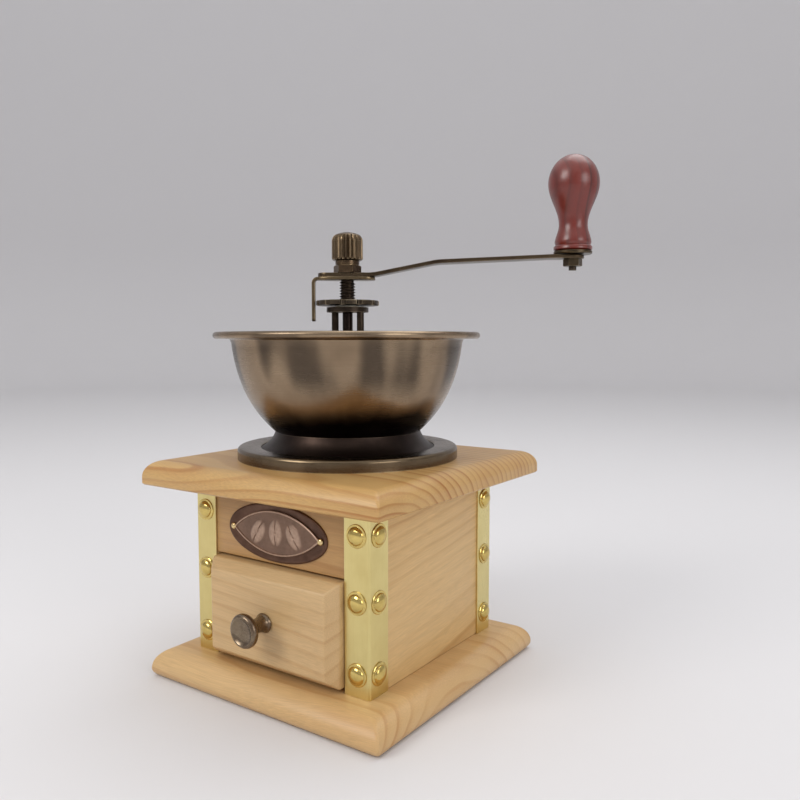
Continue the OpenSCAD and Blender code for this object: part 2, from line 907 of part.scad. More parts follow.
module upper_bush() {
    color(brass)
    translate([0, 0, bridge_top - bridge_plate_t])
    difference() {
        cylinder(r = bush_r, h = bridge_plate_t);
        translate([0, 0, -cut_over])
            cylinder(r = shaft_r + run_fit, h = bridge_plate_t + 2 * cut_over);
    }
}

// A round wire that follows a helix, closed at both ends
module spring() {
    sides = 6;
    per_turn = 16;
    steps = spring_turns * per_turn;
    wire_r = wire_d / 2;
    rise = spring_len - wire_d - 2 * face_gap;
    low_z = bar_z - spring_len + wire_r + face_gap;
    points = [
        for (i = [0 : steps], k = [0 : sides - 1])
            let (a = 360 * i / per_turn, b = 360 * k / sides, r = spring_r + wire_r * cos(b))
            [r * cos(a), r * sin(a), low_z + rise * i / steps + wire_r * sin(b)]
    ];
    skin = [
        for (i = [0 : steps - 1], k = [0 : sides - 1])
            let (n = (k + 1) % sides)
            [i * sides + k, i * sides + n, (i + 1) * sides + n, (i + 1) * sides + k]
    ];
    first_end = [for (k = [sides - 1 : -1 : 0]) k];
    last_end = [for (k = [0 : sides - 1]) steps * sides + k];
    color(steel)
    polyhedron(points = points, faces = concat(skin, [first_end], [last_end]));
}

module washer(z, outer_r, inner_r, t) {
    translate([0, 0, z])
    difference() {
        cylinder(r = outer_r, h = t);
        translate([0, 0, -cut_over]) cylinder(r = inner_r, h = t + 2 * cut_over);
    }
}

module thrust_washer() {
    color(steel)
    washer(washer_z, washer_r, shaft_r + run_fit, washer_t);
}

module adjusting_plate() {
    color(dark_iron)
    crank_frame()
    difference() {
        washer(adjust_z, adjust_d / 2, thread_r + run_fit, adjust_t);
        for (i = [0 : adjust_notches - 1])
            rotate([0, 0, 360 * i / adjust_notches])
            translate([adjust_d / 2 + 0.4, 0, adjust_z - cut_over])
            cylinder(r = 1.4, h = adjust_t + 2 * cut_over);
    }
}

module shaft() {
    color(dark_iron)
    crank_frame()
    difference() {
        union() {
            translate([0, 0, shaft_low_z])
                cylinder(r = shaft_r, h = thread_z - shaft_low_z + cut_over);
            translate([0, 0, thread_z])
                cylinder(r = thread_r, h = thread_len);
            translate([-square_side / 2, -square_side / 2, lock_z - cut_over])
                cube([square_side, square_side, cut_over + lock_t + arm_t - 0.2]);
            translate([0, 0, lock_z + lock_t])
                cylinder(r = top_thread_r, h = shaft_top_z - lock_z - lock_t);
        }
        translate([0, 0, burr_pin_z])
            rotate([0, 90, 0])
            cylinder(r = burr_pin_r + seat_fit, h = 2 * burr_r, center = true);
        translate([0, 0, tail_pin_z])
            rotate([0, 90, 0])
            cylinder(r = tail_pin_r + seat_fit, h = 2 * burr_r, center = true);
    }
}

module tail_washer() {
    color(steel)
    washer(tail_washer_z, tail_washer_r, shaft_r + seat_fit, tail_washer_t);
}

module tail_pin() {
    color(steel)
    crank_frame()
    translate([0, 0, tail_pin_z])
        rotate([0, 90, 0])
        cylinder(r = tail_pin_r, h = tail_pin_len, center = true);
}

module square_hole(z, t) {
    side = 2 * top_thread_r + 2 * seat_fit;
    translate([-side / 2, -side / 2, z - cut_over])
        cube([side, side, t + 2 * cut_over]);
}

module lock_plate() {
    color(dark_iron)
    crank_frame()
    difference() {
        union() {
            intersection() {
                translate([-finger_x - lock_t, -arm_w / 2, lock_z])
                    cube([finger_x + lock_t + lock_reach, arm_w, lock_t]);
                translate([-1.6, 0, lock_z])
                    cylinder(r = lock_reach + 2.4, h = lock_t);
            }
            translate([-finger_x - lock_t, -finger_w / 2, lock_z + lock_t - finger_len])
                cube([lock_t, finger_w, finger_len]);
        }
        square_hole(lock_z, lock_t);
    }
}

// The arm's side outline gives its bends, and its plan gives the round ends
module crank_arm() {
    level_from = crank_reach - arm_level;
    low = [
        [-arm_tail, 0], [lock_reach - 1, 0], [arm_bend, arm_bend_rise],
        [level_from, arm_end_rise], [crank_reach + arm_level, arm_end_rise]
    ];
    high = [for (i = [len(low) - 1 : -1 : 0]) low[i] + [0, arm_t]];
    color(dark_iron)
    crank_frame()
    difference() {
        intersection() {
            translate([0, arm_w / 2, arm_z])
                rotate([90, 0, 0])
                linear_extrude(height = arm_w)
                polygon(concat(low, high));
            translate([0, 0, arm_z - cut_over])
                linear_extrude(height = arm_end_rise + arm_t + 2 * cut_over)
                union() {
                    translate([-arm_tail + arm_w / 2, -arm_w / 2])
                        square([crank_reach + arm_tail - arm_w / 2, arm_w]);
                    translate([-arm_tail + arm_w / 2, 0]) circle(arm_w / 2);
                    translate([crank_reach, 0]) circle(arm_w / 2);
                }
        }
        square_hole(arm_z, arm_t);
        translate([crank_reach, 0, arm_end_z - cut_over])
            cylinder(r = spindle_end_r + seat_fit, h = arm_t + 2 * cut_over);
    }
}

module lock_nut() {
    color(dark_iron)
    crank_frame()
    translate([0, 0, nut_z])
    difference() {
        intersection() {
            cylinder(r = nut_r, h = nut_h, $fn = 6);
            rotate_extrude()
                polygon([
                    [0, 0], [nut_r - 0.8, 0], [nut_r, 0.7],
                    [nut_r, nut_h - 0.7], [nut_r - 0.8, nut_h], [0, nut_h]
                ]);
        }
        translate([0, 0, -cut_over])
            cylinder(r = top_thread_r + seat_fit, h = nut_h + 2 * cut_over);
    }
}

module cap_nut() {
    dome_r = cap_r * 2;
    color(bronze)
    crank_frame()
    translate([0, 0, cap_z])
    difference() {
        intersection() {
            rotate_extrude()
                polygon([
                    [0, 0], [cap_r - 1, 0], [cap_r, 1],
                    [cap_r, cap_h - 1.6], [cap_r - 0.9, cap_h], [0, cap_h]
                ]);
            translate([0, 0, cap_h - dome_r]) sphere(dome_r);
        }
        for (i = [0 : cap_flutes - 1])
            rotate([0, 0, 360 * i / cap_flutes])
            translate([cap_r + 0.25, 0, -cut_over])
            cylinder(r = 0.65, h = cap_h + 2 * cut_over);
        translate([0, 0, -cut_over])
            cylinder(r = top_thread_r + seat_fit, h = cap_bore_h + cut_over);
    }
}

module handle_frame() {
    crank_frame()
    translate([crank_reach, 0, 0])
    children();
}

module handle_spindle() {
    color(steel)
    handle_frame() {
        translate([0, 0, spindle_low_z])
            cylinder(r = spindle_end_r, h = arm_end_z + arm_t - spindle_low_z + 0.5);
        translate([0, 0, arm_end_z + arm_t])
            cylinder(r = shoulder_r, h = keeper_z - arm_end_z - arm_t + 0.5);
        translate([0, 0, keeper_z])
            cylinder(r = keeper_r, h = keeper_t);
        translate([0, 0, keeper_z])
            cylinder(r = spindle_r, h = spindle_top - keeper_z);
    }
}

module handle_nut() {
    color(dark_iron)
    handle_frame()
    translate([0, 0, arm_end_z - handle_nut_h])
    difference() {
        cylinder(r = handle_nut_r, h = handle_nut_h, $fn = 6);
        translate([0, 0, -cut_over])
            cylinder(r = spindle_end_r + seat_fit, h = handle_nut_h + 2 * cut_over);
    }
}

module handle_ferrule() {
    color(dark_iron)
    handle_frame()
    washer(ferrule_z, knob_foot_d / 2, shoulder_r + run_fit, ferrule_t);
}

function knob_side() = concat(
    [[knob_foot_d / 2, 0], [knob_foot_d / 2, 1.5]],
    [
        for (i = [1 : knob_steps])
            let (t = i / knob_steps)
            [ease(knob_foot_d / 2, knob_waist_d / 2, t), 1.5 + (knob_waist_z - 1.5) * t]
    ],
    [
        for (i = [1 : knob_steps])
            let (t = i / knob_steps)
            [ease(knob_waist_d / 2, knob_belly_d / 2, t), knob_waist_z + (knob_belly_z - knob_waist_z) * t]
    ],
    [
        for (i = [1 : knob_steps])
            let (a = 90 * i / knob_steps)
            [knob_belly_d / 2 * cos(a), knob_belly_z + (knob_h - knob_belly_z) * sin(a)]
    ]
);

module handle_knob() {
    color(lacquer)
    handle_frame()
    difference() {
        translate([0, 0, knob_z])
            rotate_extrude()
            polygon(concat([[0, 0]], knob_side()));
        translate([0, 0, knob_z - cut_over])
            cylinder(r = pocket_r, h = pocket_top - knob_z + cut_over);
        translate([0, 0, knob_z])
            cylinder(r = spindle_r + run_fit, h = spindle_top - knob_z + handle_gap);
    }
}

base_board();
side_panel(-1);  // left_side
side_panel(1);  // right_side
back_panel();
front_rail();
top_board();
corner_strip(-1, -1);  // strip_front_left
corner_strip(1, -1);  // strip_front_right
corner_strip(-1, 1);  // strip_back_left
corner_strip(1, 1);  // strip_back_right
strip_nails();
nameplate();
nameplate_pins();
base_screws();
drawer_front();
drawer_side(-1);  // drawer_left
drawer_side(1);  // drawer_right
drawer_back();
drawer_floor();
drawer_knob();
drawer_knob_screw();
mill_foot();
foot_screws();
trim_ring();
hopper_bowl();
outer_burr();
burr_screws();
lower_bar();
bar_screws();
bridge();
bridge_screws();
upper_bush();
spring();
thrust_washer();
adjusting_plate();
shaft();
inner_burr();
burr_pin();
tail_washer();
tail_pin();
lock_plate();
crank_arm();
lock_nut();
cap_nut();
handle_spindle();
handle_nut();
handle_ferrule();
handle_knob();
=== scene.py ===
import math

import bmesh
import bpy
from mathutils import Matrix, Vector


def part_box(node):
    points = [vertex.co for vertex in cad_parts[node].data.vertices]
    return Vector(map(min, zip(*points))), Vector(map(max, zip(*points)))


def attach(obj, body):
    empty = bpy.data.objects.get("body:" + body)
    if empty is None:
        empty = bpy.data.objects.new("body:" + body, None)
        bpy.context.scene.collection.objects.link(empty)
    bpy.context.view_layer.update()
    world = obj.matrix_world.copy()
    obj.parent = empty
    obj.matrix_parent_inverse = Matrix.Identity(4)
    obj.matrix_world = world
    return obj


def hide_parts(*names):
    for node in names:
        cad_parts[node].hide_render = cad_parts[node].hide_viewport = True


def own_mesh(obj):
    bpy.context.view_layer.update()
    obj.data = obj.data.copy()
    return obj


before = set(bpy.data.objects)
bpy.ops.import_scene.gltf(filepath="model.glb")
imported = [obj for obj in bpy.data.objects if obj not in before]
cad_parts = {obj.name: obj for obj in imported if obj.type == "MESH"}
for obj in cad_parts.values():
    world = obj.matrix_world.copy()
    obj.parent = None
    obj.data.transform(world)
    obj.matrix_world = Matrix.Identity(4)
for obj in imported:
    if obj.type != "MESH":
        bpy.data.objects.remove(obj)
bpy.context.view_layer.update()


# ---- Studio ----
# A pale seamless sweep with soft panels stands round the mill. The camera stands close, a little
# above the bowl's lip, and looks slightly down past the front right corner of the box.

def deselect():
    """Leaves nothing selected, so that the next operator acts only on its own piece."""
    bpy.ops.object.select_all(action="DESELECT")


eye = bpy.data.cameras.new("camera")
eye.lens = 35.0
camera = bpy.data.objects.new("camera", eye)
camera.location = (0.222, -0.2788, 0.1504)
camera.rotation_euler = (math.radians(90 - 4.4), 0, math.radians(34.7))
bpy.context.scene.collection.objects.link(camera)
bpy.context.scene.camera = camera


def soft_panel(name, place, aim, size, power, tint=(1, 1, 1)):
    """A square area lamp that faces a point on the mill."""
    lamp = bpy.data.lights.new(name, "AREA")
    lamp.size = size
    lamp.energy = power
    lamp.color = tint
    holder = bpy.data.objects.new(name, lamp)
    holder.location = place
    holder.rotation_euler = (Vector(aim) - Vector(place)).to_track_quat("-Z", "Y").to_euler()
    bpy.context.scene.collection.objects.link(holder)


soft_panel("key_panel", (-0.35, -0.95, 0.75), (0, 0, 0.1), 0.55, 5.4, (1.0, 0.985, 0.96))
soft_panel("side_panel", (1.05, -0.25, 0.45), (0, 0, 0.1), 0.5, 2.6)
soft_panel("top_panel", (0.1, 0.35, 1.1), (0, 0, 0.1), 0.8, 3.4)

world = bpy.data.worlds.new("studio")
world.use_nodes = True
world.node_tree.nodes["Background"].inputs["Color"].default_value = (0.95, 0.95, 0.96, 1)
world.node_tree.nodes["Background"].inputs["Strength"].default_value = 0.92
bpy.context.scene.world = world
bpy.context.scene.view_settings.view_transform = "Standard"

floor_r = 2.2
curve_r = 0.5
curve_steps = 8
wall_h = 1.9
deselect()
bpy.ops.mesh.primitive_circle_add(vertices=96, radius=floor_r, fill_type="NGON", location=(0, 0, 0))
sweep = bpy.context.object
sweep.name = "studio_floor"
bpy.ops.object.mode_set(mode="EDIT")
bpy.ops.mesh.select_mode(type="EDGE")
bpy.ops.mesh.select_all(action="SELECT")
bpy.ops.mesh.region_to_loop()
reach = floor_r
turn = 0.0
for step in range(1, curve_steps + 1):
    last_turn, turn = turn, math.radians(90 * step / curve_steps)
    wider = floor_r + curve_r * math.sin(turn)
    rise = curve_r * (1 - math.cos(turn)) - curve_r * (1 - math.cos(last_turn))
    bpy.ops.mesh.extrude_edges_move(TRANSFORM_OT_translate={"value": (0, 0, rise)})
    bpy.ops.transform.resize(value=(wider / reach, wider / reach, 1), center_override=(0, 0, 0))
    reach = wider
bpy.ops.mesh.extrude_edges_move(TRANSFORM_OT_translate={"value": (0, 0, wall_h)})
bpy.ops.object.mode_set(mode="OBJECT")
bpy.ops.object.shade_smooth()
paper = bpy.data.materials.new("studio_paper")
paper.use_nodes = True
paper.node_tree.nodes["Principled BSDF"].inputs["Base Color"].default_value = (0.71, 0.70, 0.71, 1)
paper.node_tree.nodes["Principled BSDF"].inputs["Roughness"].default_value = 0.9
sweep.data.materials.append(paper)


# ---- Base board and top board ----
# Two square pine boards, planed flat and moulded along all four edges on a router, so the mouldings
# meet in mitres at the corners. The top board is bored through for the mill, the base takes screws.

def pick(*pieces):
    """Selects these pieces and nothing else, with the last one active."""
    deselect()
    for piece in pieces:
        piece.select_set(True)
    bpy.context.view_layer.objects.active = pieces[-1]


def smooth(piece, crease):
    """Shades a piece smooth except at edges sharper than a crease, in degrees."""
    pick(piece)
    bpy.ops.object.shade_smooth_by_angle(angle=math.radians(crease))


def apply_modifier(piece, kind, **settings):
    """Works a modifier with these settings into a piece's mesh."""
    modifier = piece.modifiers.new(kind.lower(), kind)
    for key, value in settings.items():
        setattr(modifier, key, value)
    bpy.context.view_layer.objects.active = piece
    bpy.ops.object.modifier_apply(modifier=modifier.name)


def start_piece(name):
    """Takes the primitive just added as a new piece and opens it for editing."""
    piece = bpy.context.object
    piece.name = name
    piece.data.name = name
    bpy.ops.object.mode_set(mode="EDIT")
    return piece


def select_where(piece, kind, test):
    """Selects those vertices, edges or faces of the open piece whose middle and normal pass a test."""
    bpy.ops.mesh.select_mode(type=kind)
    bpy.ops.mesh.select_all(action="DESELECT")
    mesh = bmesh.from_edit_mesh(piece.data)
    if kind == "VERT":
        for vert in mesh.verts:
            if test(vert.co + piece.location, vert.normal):
                vert.select_set(True)
    elif kind == "EDGE":
        for edge in mesh.edges:
            middle = (edge.verts[0].co + edge.verts[1].co) / 2 + piece.location
            if test(middle, edge.verts[0].co - edge.verts[1].co):
                edge.select_set(True)
    else:
        for face in mesh.faces:
            if test(face.calc_center_median() + piece.location, face.normal):
                face.select_set(True)
    mesh.select_flush_mode()
    bmesh.update_edit_mesh(piece.data)


def close_piece(piece, crease=35):
    """Closes the edit: doubles merged, faces turned outwards, place in the mesh, smooth up to a crease."""
    bpy.ops.mesh.select_mode(type="VERT")
    bpy.ops.mesh.select_all(action="SELECT")
    bpy.ops.mesh.remove_doubles(threshold=2e-6)
    bpy.ops.mesh.normals_make_consistent(inside=False)
    bpy.ops.object.mode_set(mode="OBJECT")
    bpy.ops.object.transform_apply(location=True, rotation=True, scale=True)
    bpy.ops.object.shade_smooth_by_angle(angle=math.radians(crease))


def break_edges(piece, width, segments=2, limit=40):
    """Rounds every edge sharper than the limit, as sandpaper or a file would."""
    apply_modifier(piece, "BEVEL", width=width, segments=segments, limit_method="ANGLE",
                   angle_limit=math.radians(limit), harden_normals=False)
    smooth(piece, 35)


def cut_with(piece, cutter, operation="DIFFERENCE"):
    """Cuts one closed piece with another, which is used up."""
    apply_modifier(piece, "BOOLEAN", operation=operation, solver="EXACT", object=cutter)
    bpy.data.objects.remove(cutter)


def raise_outline(rings, centre=(0.0, 0.0)):
    """Draws the open piece's selected outline up through rings of (half width or radius, height)."""
    half, height = rings[0]
    for next_half, next_height in rings[1:]:
        bpy.ops.mesh.extrude_region_move(
            TRANSFORM_OT_translate={"value": (0, 0, next_height - height)})
        ratio = next_half / half
        bpy.ops.transform.resize(value=(ratio, ratio, 1), center_override=(*centre, next_height))
        half, height = next_half, next_height


def quarter(centre_half, centre_height, radius, first, last, steps):
    """Points of an arc in an edge moulding, with angles in degrees from the outward direction."""
    angles = [math.radians(first + (last - first) * i / steps) for i in range(steps + 1)]
    return [(centre_half + radius * math.cos(a), centre_height + radius * math.sin(a)) for a in angles]


def add_node(tree, kind, wires=(), **settings):
    """A shader node with its settings made and its inputs wired or set, by socket name or number."""
    node = tree.nodes.new(kind)
    for key, value in settings.items():
        setattr(node, key, value)
    for socket, value in wires:
        if isinstance(value, bpy.types.NodeSocket):
            tree.links.new(value, node.inputs[socket])
        else:
            node.inputs[socket].default_value = value
    return node


def new_group(name, inputs, outputs):
    """An empty shader node group with named float or vector inputs and float outputs."""
    group = bpy.data.node_groups.new(name, "ShaderNodeTree")
    group.interface.new_socket("Vector", in_out="INPUT", socket_type="NodeSocketVector")
    for label, value in inputs:
        socket = group.interface.new_socket(label, in_out="INPUT", socket_type="NodeSocketFloat")
        socket.default_value = value
    for label in outputs:
        group.interface.new_socket(label, in_out="OUTPUT", socket_type="NodeSocketFloat")
    return group, group.nodes.new("NodeGroupInput"), group.nodes.new("NodeGroupOutput")


def place_group(tree, group, vector, **values):
    """Puts a group into a material with its own values."""
    node = tree.nodes.new("ShaderNodeGroup")
    node.node_tree = group
    tree.links.new(vector, node.inputs["Vector"])
    for label, value in values.items():
        node.inputs[label.replace("_", " ").title()].default_value = value
    return node


def calc(tree, operation, first, second=0.0, third=None, clamp=False):
    """One step of arithmetic on a value."""
    wires = [(0, first), (1, second)] + ([(2, third)] if third is not None else [])
    return add_node(tree, "ShaderNodeMath", wires, operation=operation, use_clamp=clamp).outputs[0]


def vector_calc(tree, operation, first, second):
    """One step of arithmetic on a vector."""
    return add_node(tree, "ShaderNodeVectorMath", [(0, first), (1, second)], operation=operation).outputs[0]


def noise(tree, vector, scale, detail=2.0, roughness=0.5, output="Fac"):
    """Soft noise with features of about one over the scale."""
    return add_node(tree, "ShaderNodeTexNoise", [
        ("Vector", vector), ("Scale", scale), ("Detail", detail), ("Roughness", roughness)]).outputs[output]


def spread(tree, value, low, high, to_low=0.0, to_high=1.0, ease_kind="LINEAR"):
    """A value drawn out from one range to another, and held at its ends."""
    return add_node(tree, "ShaderNodeMapRange", [
        ("Value", value), ("From Min", low), ("From Max", high), ("To Min", to_low), ("To Max", to_high)],
        interpolation_type=ease_kind).outputs[0]


def blend(tree, amount, first, second, mode="MIX"):
    """Two colours mixed by an amount."""
    node = add_node(tree, "ShaderNodeMix", data_type="RGBA", blend_type=mode)
    for socket, value in ((0, amount), (6, first), (7, second)):
        if isinstance(value, bpy.types.NodeSocket):
            tree.links.new(value, node.inputs[socket])
        else:
            node.inputs[socket].default_value = value
    return node.outputs[2]


def shade(red, green, blue):
    """A colour as a paint chart gives it, 0 to 255, made linear."""
    return tuple(
        ((c / 255 + 0.055) / 1.055) ** 2.4 if c > 10 else c / 255 / 12.92
        for c in (red, green, blue)) + (1.0,)


# Growth rings round a log's heart that runs along X, with late wood that darkens slowly outwards and
# stops sharply, and the fine fibres along it.
ring_group, enter, leave = new_group(
    "growth_rings", [("Ring Gap", 0.004), ("Wander", 0.006), ("Fade", 0.5)],
    ["Late Wood", "Fibre", "Cloud"])
slow = vector_calc(ring_group, "MULTIPLY", enter.outputs["Vector"], (9.0, 26.0, 26.0))
drift = noise(ring_group, slow, 1.0, 2.0, 0.45, "Color")
centred = vector_calc(ring_group, "SUBTRACT", drift, (0.5, 0.5, 0.5))
moved = add_node(ring_group, "ShaderNodeVectorMath",
                 [(0, centred), ("Scale", enter.outputs["Wander"])], operation="SCALE")
bent = vector_calc(ring_group, "ADD", enter.outputs["Vector"], moved.outputs[0])
across = vector_calc(ring_group, "MULTIPLY", bent, (0.0, 1.0, 1.0))
far = add_node(ring_group, "ShaderNodeVectorMath", [(0, across)], operation="LENGTH")
years = calc(ring_group, "DIVIDE", far.outputs["Value"], enter.outputs["Ring Gap"])
season = calc(ring_group, "FRACT", years)
which = calc(ring_group, "FLOOR", years)
year_tone = add_node(ring_group, "ShaderNodeTexWhiteNoise", [("W", which)], noise_dimensions="1D")
late = add_node(ring_group, "ShaderNodeValToRGB", [("Fac", season)])
late.color_ramp.interpolation = "EASE"
late.color_ramp.elements[0].position = 0.0
late.color_ramp.elements[0].color = (0, 0, 0, 1)
late.color_ramp.elements[1].position = 1.0
late.color_ramp.elements[1].color = (0, 0, 0, 1)
for place, tone in ((0.30, 0.06), (0.62, 0.30), (0.84, 1.0), (0.93, 0.85)):
    stop = late.color_ramp.elements.new(place)
    stop.color = (tone, tone, tone, 1)
strength = calc(ring_group, "MULTIPLY_ADD", year_tone.outputs["Value"], 0.6, 0.4)
faint_map = vector_calc(ring_group, "MULTIPLY", enter.outputs["Vector"], (7.0, 30.0, 30.0))
faint = noise(ring_group, faint_map, 1.0, 1.0)
shown = spread(ring_group, faint, 0.40, 0.60, calc(ring_group, "SUBTRACT", 1.0, enter.outputs["Fade"]))
late_wood = calc(ring_group, "MULTIPLY", late.outputs["Color"], strength)
late_out = calc(ring_group, "MULTIPLY", late_wood, shown)
fine = vector_calc(ring_group, "MULTIPLY", bent, (55.0, 2600.0, 2600.0))
broad = vector_calc(ring_group, "MULTIPLY", enter.outputs["Vector"], (14.0, 60.0, 60.0))
ring_group.links.new(late_out, leave.inputs["Late Wood"])
ring_group.links.new(noise(ring_group, fine, 1.0, 3.0, 0.6), leave.inputs["Fibre"])
ring_group.links.new(noise(ring_group, broad, 1.0), leave.inputs["Cloud"])


def pine(name, early, late, heart, lean, ring_gap=0.0042, wander=0.008, gloss=0.42, coat=0.12, fade=0.5):
    """Varnished pine cut from a log whose heart passes through one point, leaning by XYZ degrees."""
    material = bpy.data.materials.new(name)
    material.use_nodes = True
    tree = material.node_tree
    shader = tree.nodes["Principled BSDF"]
    place = add_node(tree, "ShaderNodeTexCoord").outputs["Object"]
    log = add_node(tree, "ShaderNodeMapping", [
        ("Vector", place), ("Location", heart), ("Rotation", [math.radians(a) for a in lean])],
        vector_type="TEXTURE")
    wood = place_group(tree, ring_group, log.outputs["Vector"], ring_gap=ring_gap, wander=wander, fade=fade)
    ringed = blend(tree, wood.outputs["Late Wood"], early, late)
    toned = blend(tree, calc(tree, "MULTIPLY", wood.outputs["Cloud"], 0.45), ringed, late)
    hairs = calc(tree, "MULTIPLY_ADD", wood.outputs["Fibre"], 0.5, 0.72)
    hair_tint = add_node(tree, "ShaderNodeCombineColor", [(0, hairs), (1, hairs), (2, hairs)])
    coloured = blend(tree, 1.0, toned, hair_tint.outputs[0], "MULTIPLY")
    tree.links.new(coloured, shader.inputs["Base Color"])
    rough = calc(tree, "MULTIPLY_ADD", wood.outputs["Fibre"], 0.2, gloss - 0.1)
    tree.links.new(rough, shader.inputs["Roughness"])
    shader.inputs["Coat Weight"].default_value = coat
    shader.inputs["Coat Roughness"].default_value = 0.25
    relief = calc(tree, "MULTIPLY_ADD", wood.outputs["Late Wood"], 0.5, wood.outputs["Fibre"])
    bump = add_node(tree, "ShaderNodeBump", [("Height", relief), ("Strength", 0.35), ("Distance", 0.00012)])
    tree.links.new(bump.outputs["Normal"], shader.inputs["Normal"])
    return material


def drill(name, place, radius, depth):
    """A closed cylinder that a board is bored with."""
    deselect()
    bpy.ops.mesh.primitive_cylinder_add(vertices=64, radius=radius, depth=depth, location=place)
    bit = start_piece(name)
    close_piece(bit)
    return bit


top_low, top_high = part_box("top_board")
top_half = top_high.x
top_edge = 0.0035
top_round = top_high.z - top_low.z - top_edge
arris = 0.0006
corner_cut = 0.0012
deselect()
bpy.ops.mesh.primitive_plane_add(size=2 * (top_half - arris), location=(0, 0, top_low.z))
top_board = start_piece("top_board_moulded")
bpy.ops.mesh.select_all(action="SELECT")
raise_outline([(top_half - arris, top_low.z), (top_half, top_low.z + arris)]
              + quarter(top_half - top_round, top_low.z + top_edge, top_round, 0, 90, 14))
select_where(top_board, "EDGE", lambda middle, way: abs(abs(middle.x) - abs(middle.y)) < 1e-6
             and abs(way.z) > 1e-6)
bpy.ops.mesh.bevel(offset=corner_cut, segments=3, affect="EDGES")
close_piece(top_board, 25)
throat_r = 0.030
cut_with(top_board, drill("bore", (0, 0, top_low.z), throat_r, 0.05))
smooth(top_board, 25)
top_board.data.materials.clear()
top_board.data.materials.append(pine(
    "pine_top_board", shade(208, 171, 110), shade(162, 105, 47),
    (0.0, -0.050, top_low.z - 0.036), (0, 1.0, -8), 0.0036, 0.011, 0.40, fade=0.25))
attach(top_board, "housing")
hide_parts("top_board")

base_low, base_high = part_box("base_board")
base_half = base_high.x
nose = 0.0035
base_round = base_high.z - base_low.z - nose
deselect()
bpy.ops.mesh.primitive_plane_add(size=2 * (base_half - nose), location=(0, 0, base_low.z))
base_board = start_piece("base_board_moulded")
bpy.ops.mesh.select_all(action="SELECT")
raise_outline(quarter(base_half - nose, base_low.z + nose, nose, -90, 0, 6)
              + quarter(base_half - base_round, base_low.z + nose, base_round, 0, 90, 14)[1:])
select_where(base_board, "EDGE", lambda middle, way: abs(abs(middle.x) - abs(middle.y)) < 1e-6
             and abs(way.z) > 1e-6)
bpy.ops.mesh.bevel(offset=corner_cut, segments=3, affect="EDGES")
close_piece(base_board, 25)
screw_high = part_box("base_screws")[1]
screw_head_r = 0.0036
sink_r = 0.0040
sink_depth = 0.0031
screw_x = screw_high.x - screw_head_r
screw_y = screw_high.y - screw_head_r
for side_x in (-1, 1):
    for side_y in (-1, 1):
        cut_with(base_board, drill("bore", (side_x * screw_x, side_y * screw_y, 0), sink_r, 2 * sink_depth))
smooth(base_board, 25)
base_board.data.materials.clear()
base_board.data.materials.append(pine(
    "pine_base_board", shade(214, 180, 128), shade(188, 140, 84),
    (0.01, -0.012, -0.040), (0, -3, 3), 0.0056, 0.012, 0.42, fade=0.7))
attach(base_board, "housing")
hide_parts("base_board")


# ---- Box panels ----
# Four plain pine boards make the box: two full-depth sides, a back between them and a rail above the
# drawer. Their grain lies level round the box. Their arrises are only sanded.

def square_board(name, node, edge):
    """A board with the size and place of a node, its edges sanded."""
    low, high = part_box(node)
    deselect()
    bpy.ops.mesh.primitive_cube_add(size=1, location=(low + high) / 2)
    board = start_piece(name)
    bpy.ops.mesh.select_all(action="SELECT")
    bpy.ops.transform.resize(value=tuple(high - low), center_override=tuple((low + high) / 2))
    bpy.ops.mesh.bevel(offset=edge, segments=3, affect="EDGES")
    close_piece(board)
    return board


panel_woods = {
    "left_side": pine("pine_left_side", shade(214, 179, 124), shade(190, 149, 94),
                      (0.02, -0.01, 0.125), (0, 9, 90), 0.0046, 0.009, fade=0.75),
    "right_side": pine("pine_right_side", shade(221, 187, 130), shade(194, 151, 94),
                       (-0.030, 0.02, -0.030), (0, -5, 88), 0.0046, 0.008, fade=0.7),
    "back_panel": pine("pine_back_panel", shade(210, 174, 118), shade(186, 140, 84),
                      (0, 0.075, 0.03), (0, 4, 3), 0.0045, 0.010, fade=0.7),
    # The front rail's pine is darkened to paint the shade that the top board casts on it.
    "front_rail": pine("pine_front_rail_painted_shade", shade(188, 148, 94), shade(162, 117, 66),
                      (0, -0.020, 0.030), (0, 1.5, 2), 0.0062, 0.007, fade=0.7),
}
for node, wood in panel_woods.items():
    panel = square_board(node + "_board", node, 0.0005)
    panel.data.materials.append(wood)
    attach(panel, "housing")
    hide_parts(node)


# ---- Corner strips ----
# Thin brass-plated sheet folded to an angle covers each upright corner of the box from board to board.
# The fold is a small round bend, and the cut edges are broken.

patina_group, enter, leave = new_group(
    "patina", [("Blotch Size", 0.02), ("Grain Size", 0.0006)], ["Blotch", "Grain"])
big = calc(patina_group, "DIVIDE", 1.0, enter.outputs["Blotch Size"])
small = calc(patina_group, "DIVIDE", 1.0, enter.outputs["Grain Size"])
blotch = noise(patina_group, enter.outputs["Vector"], big, 4.0, 0.6)
grain = noise(patina_group, enter.outputs["Vector"], small, 3.0)
patina_group.links.new(blotch, leave.inputs["Blotch"])
patina_group.links.new(grain, leave.inputs["Grain"])

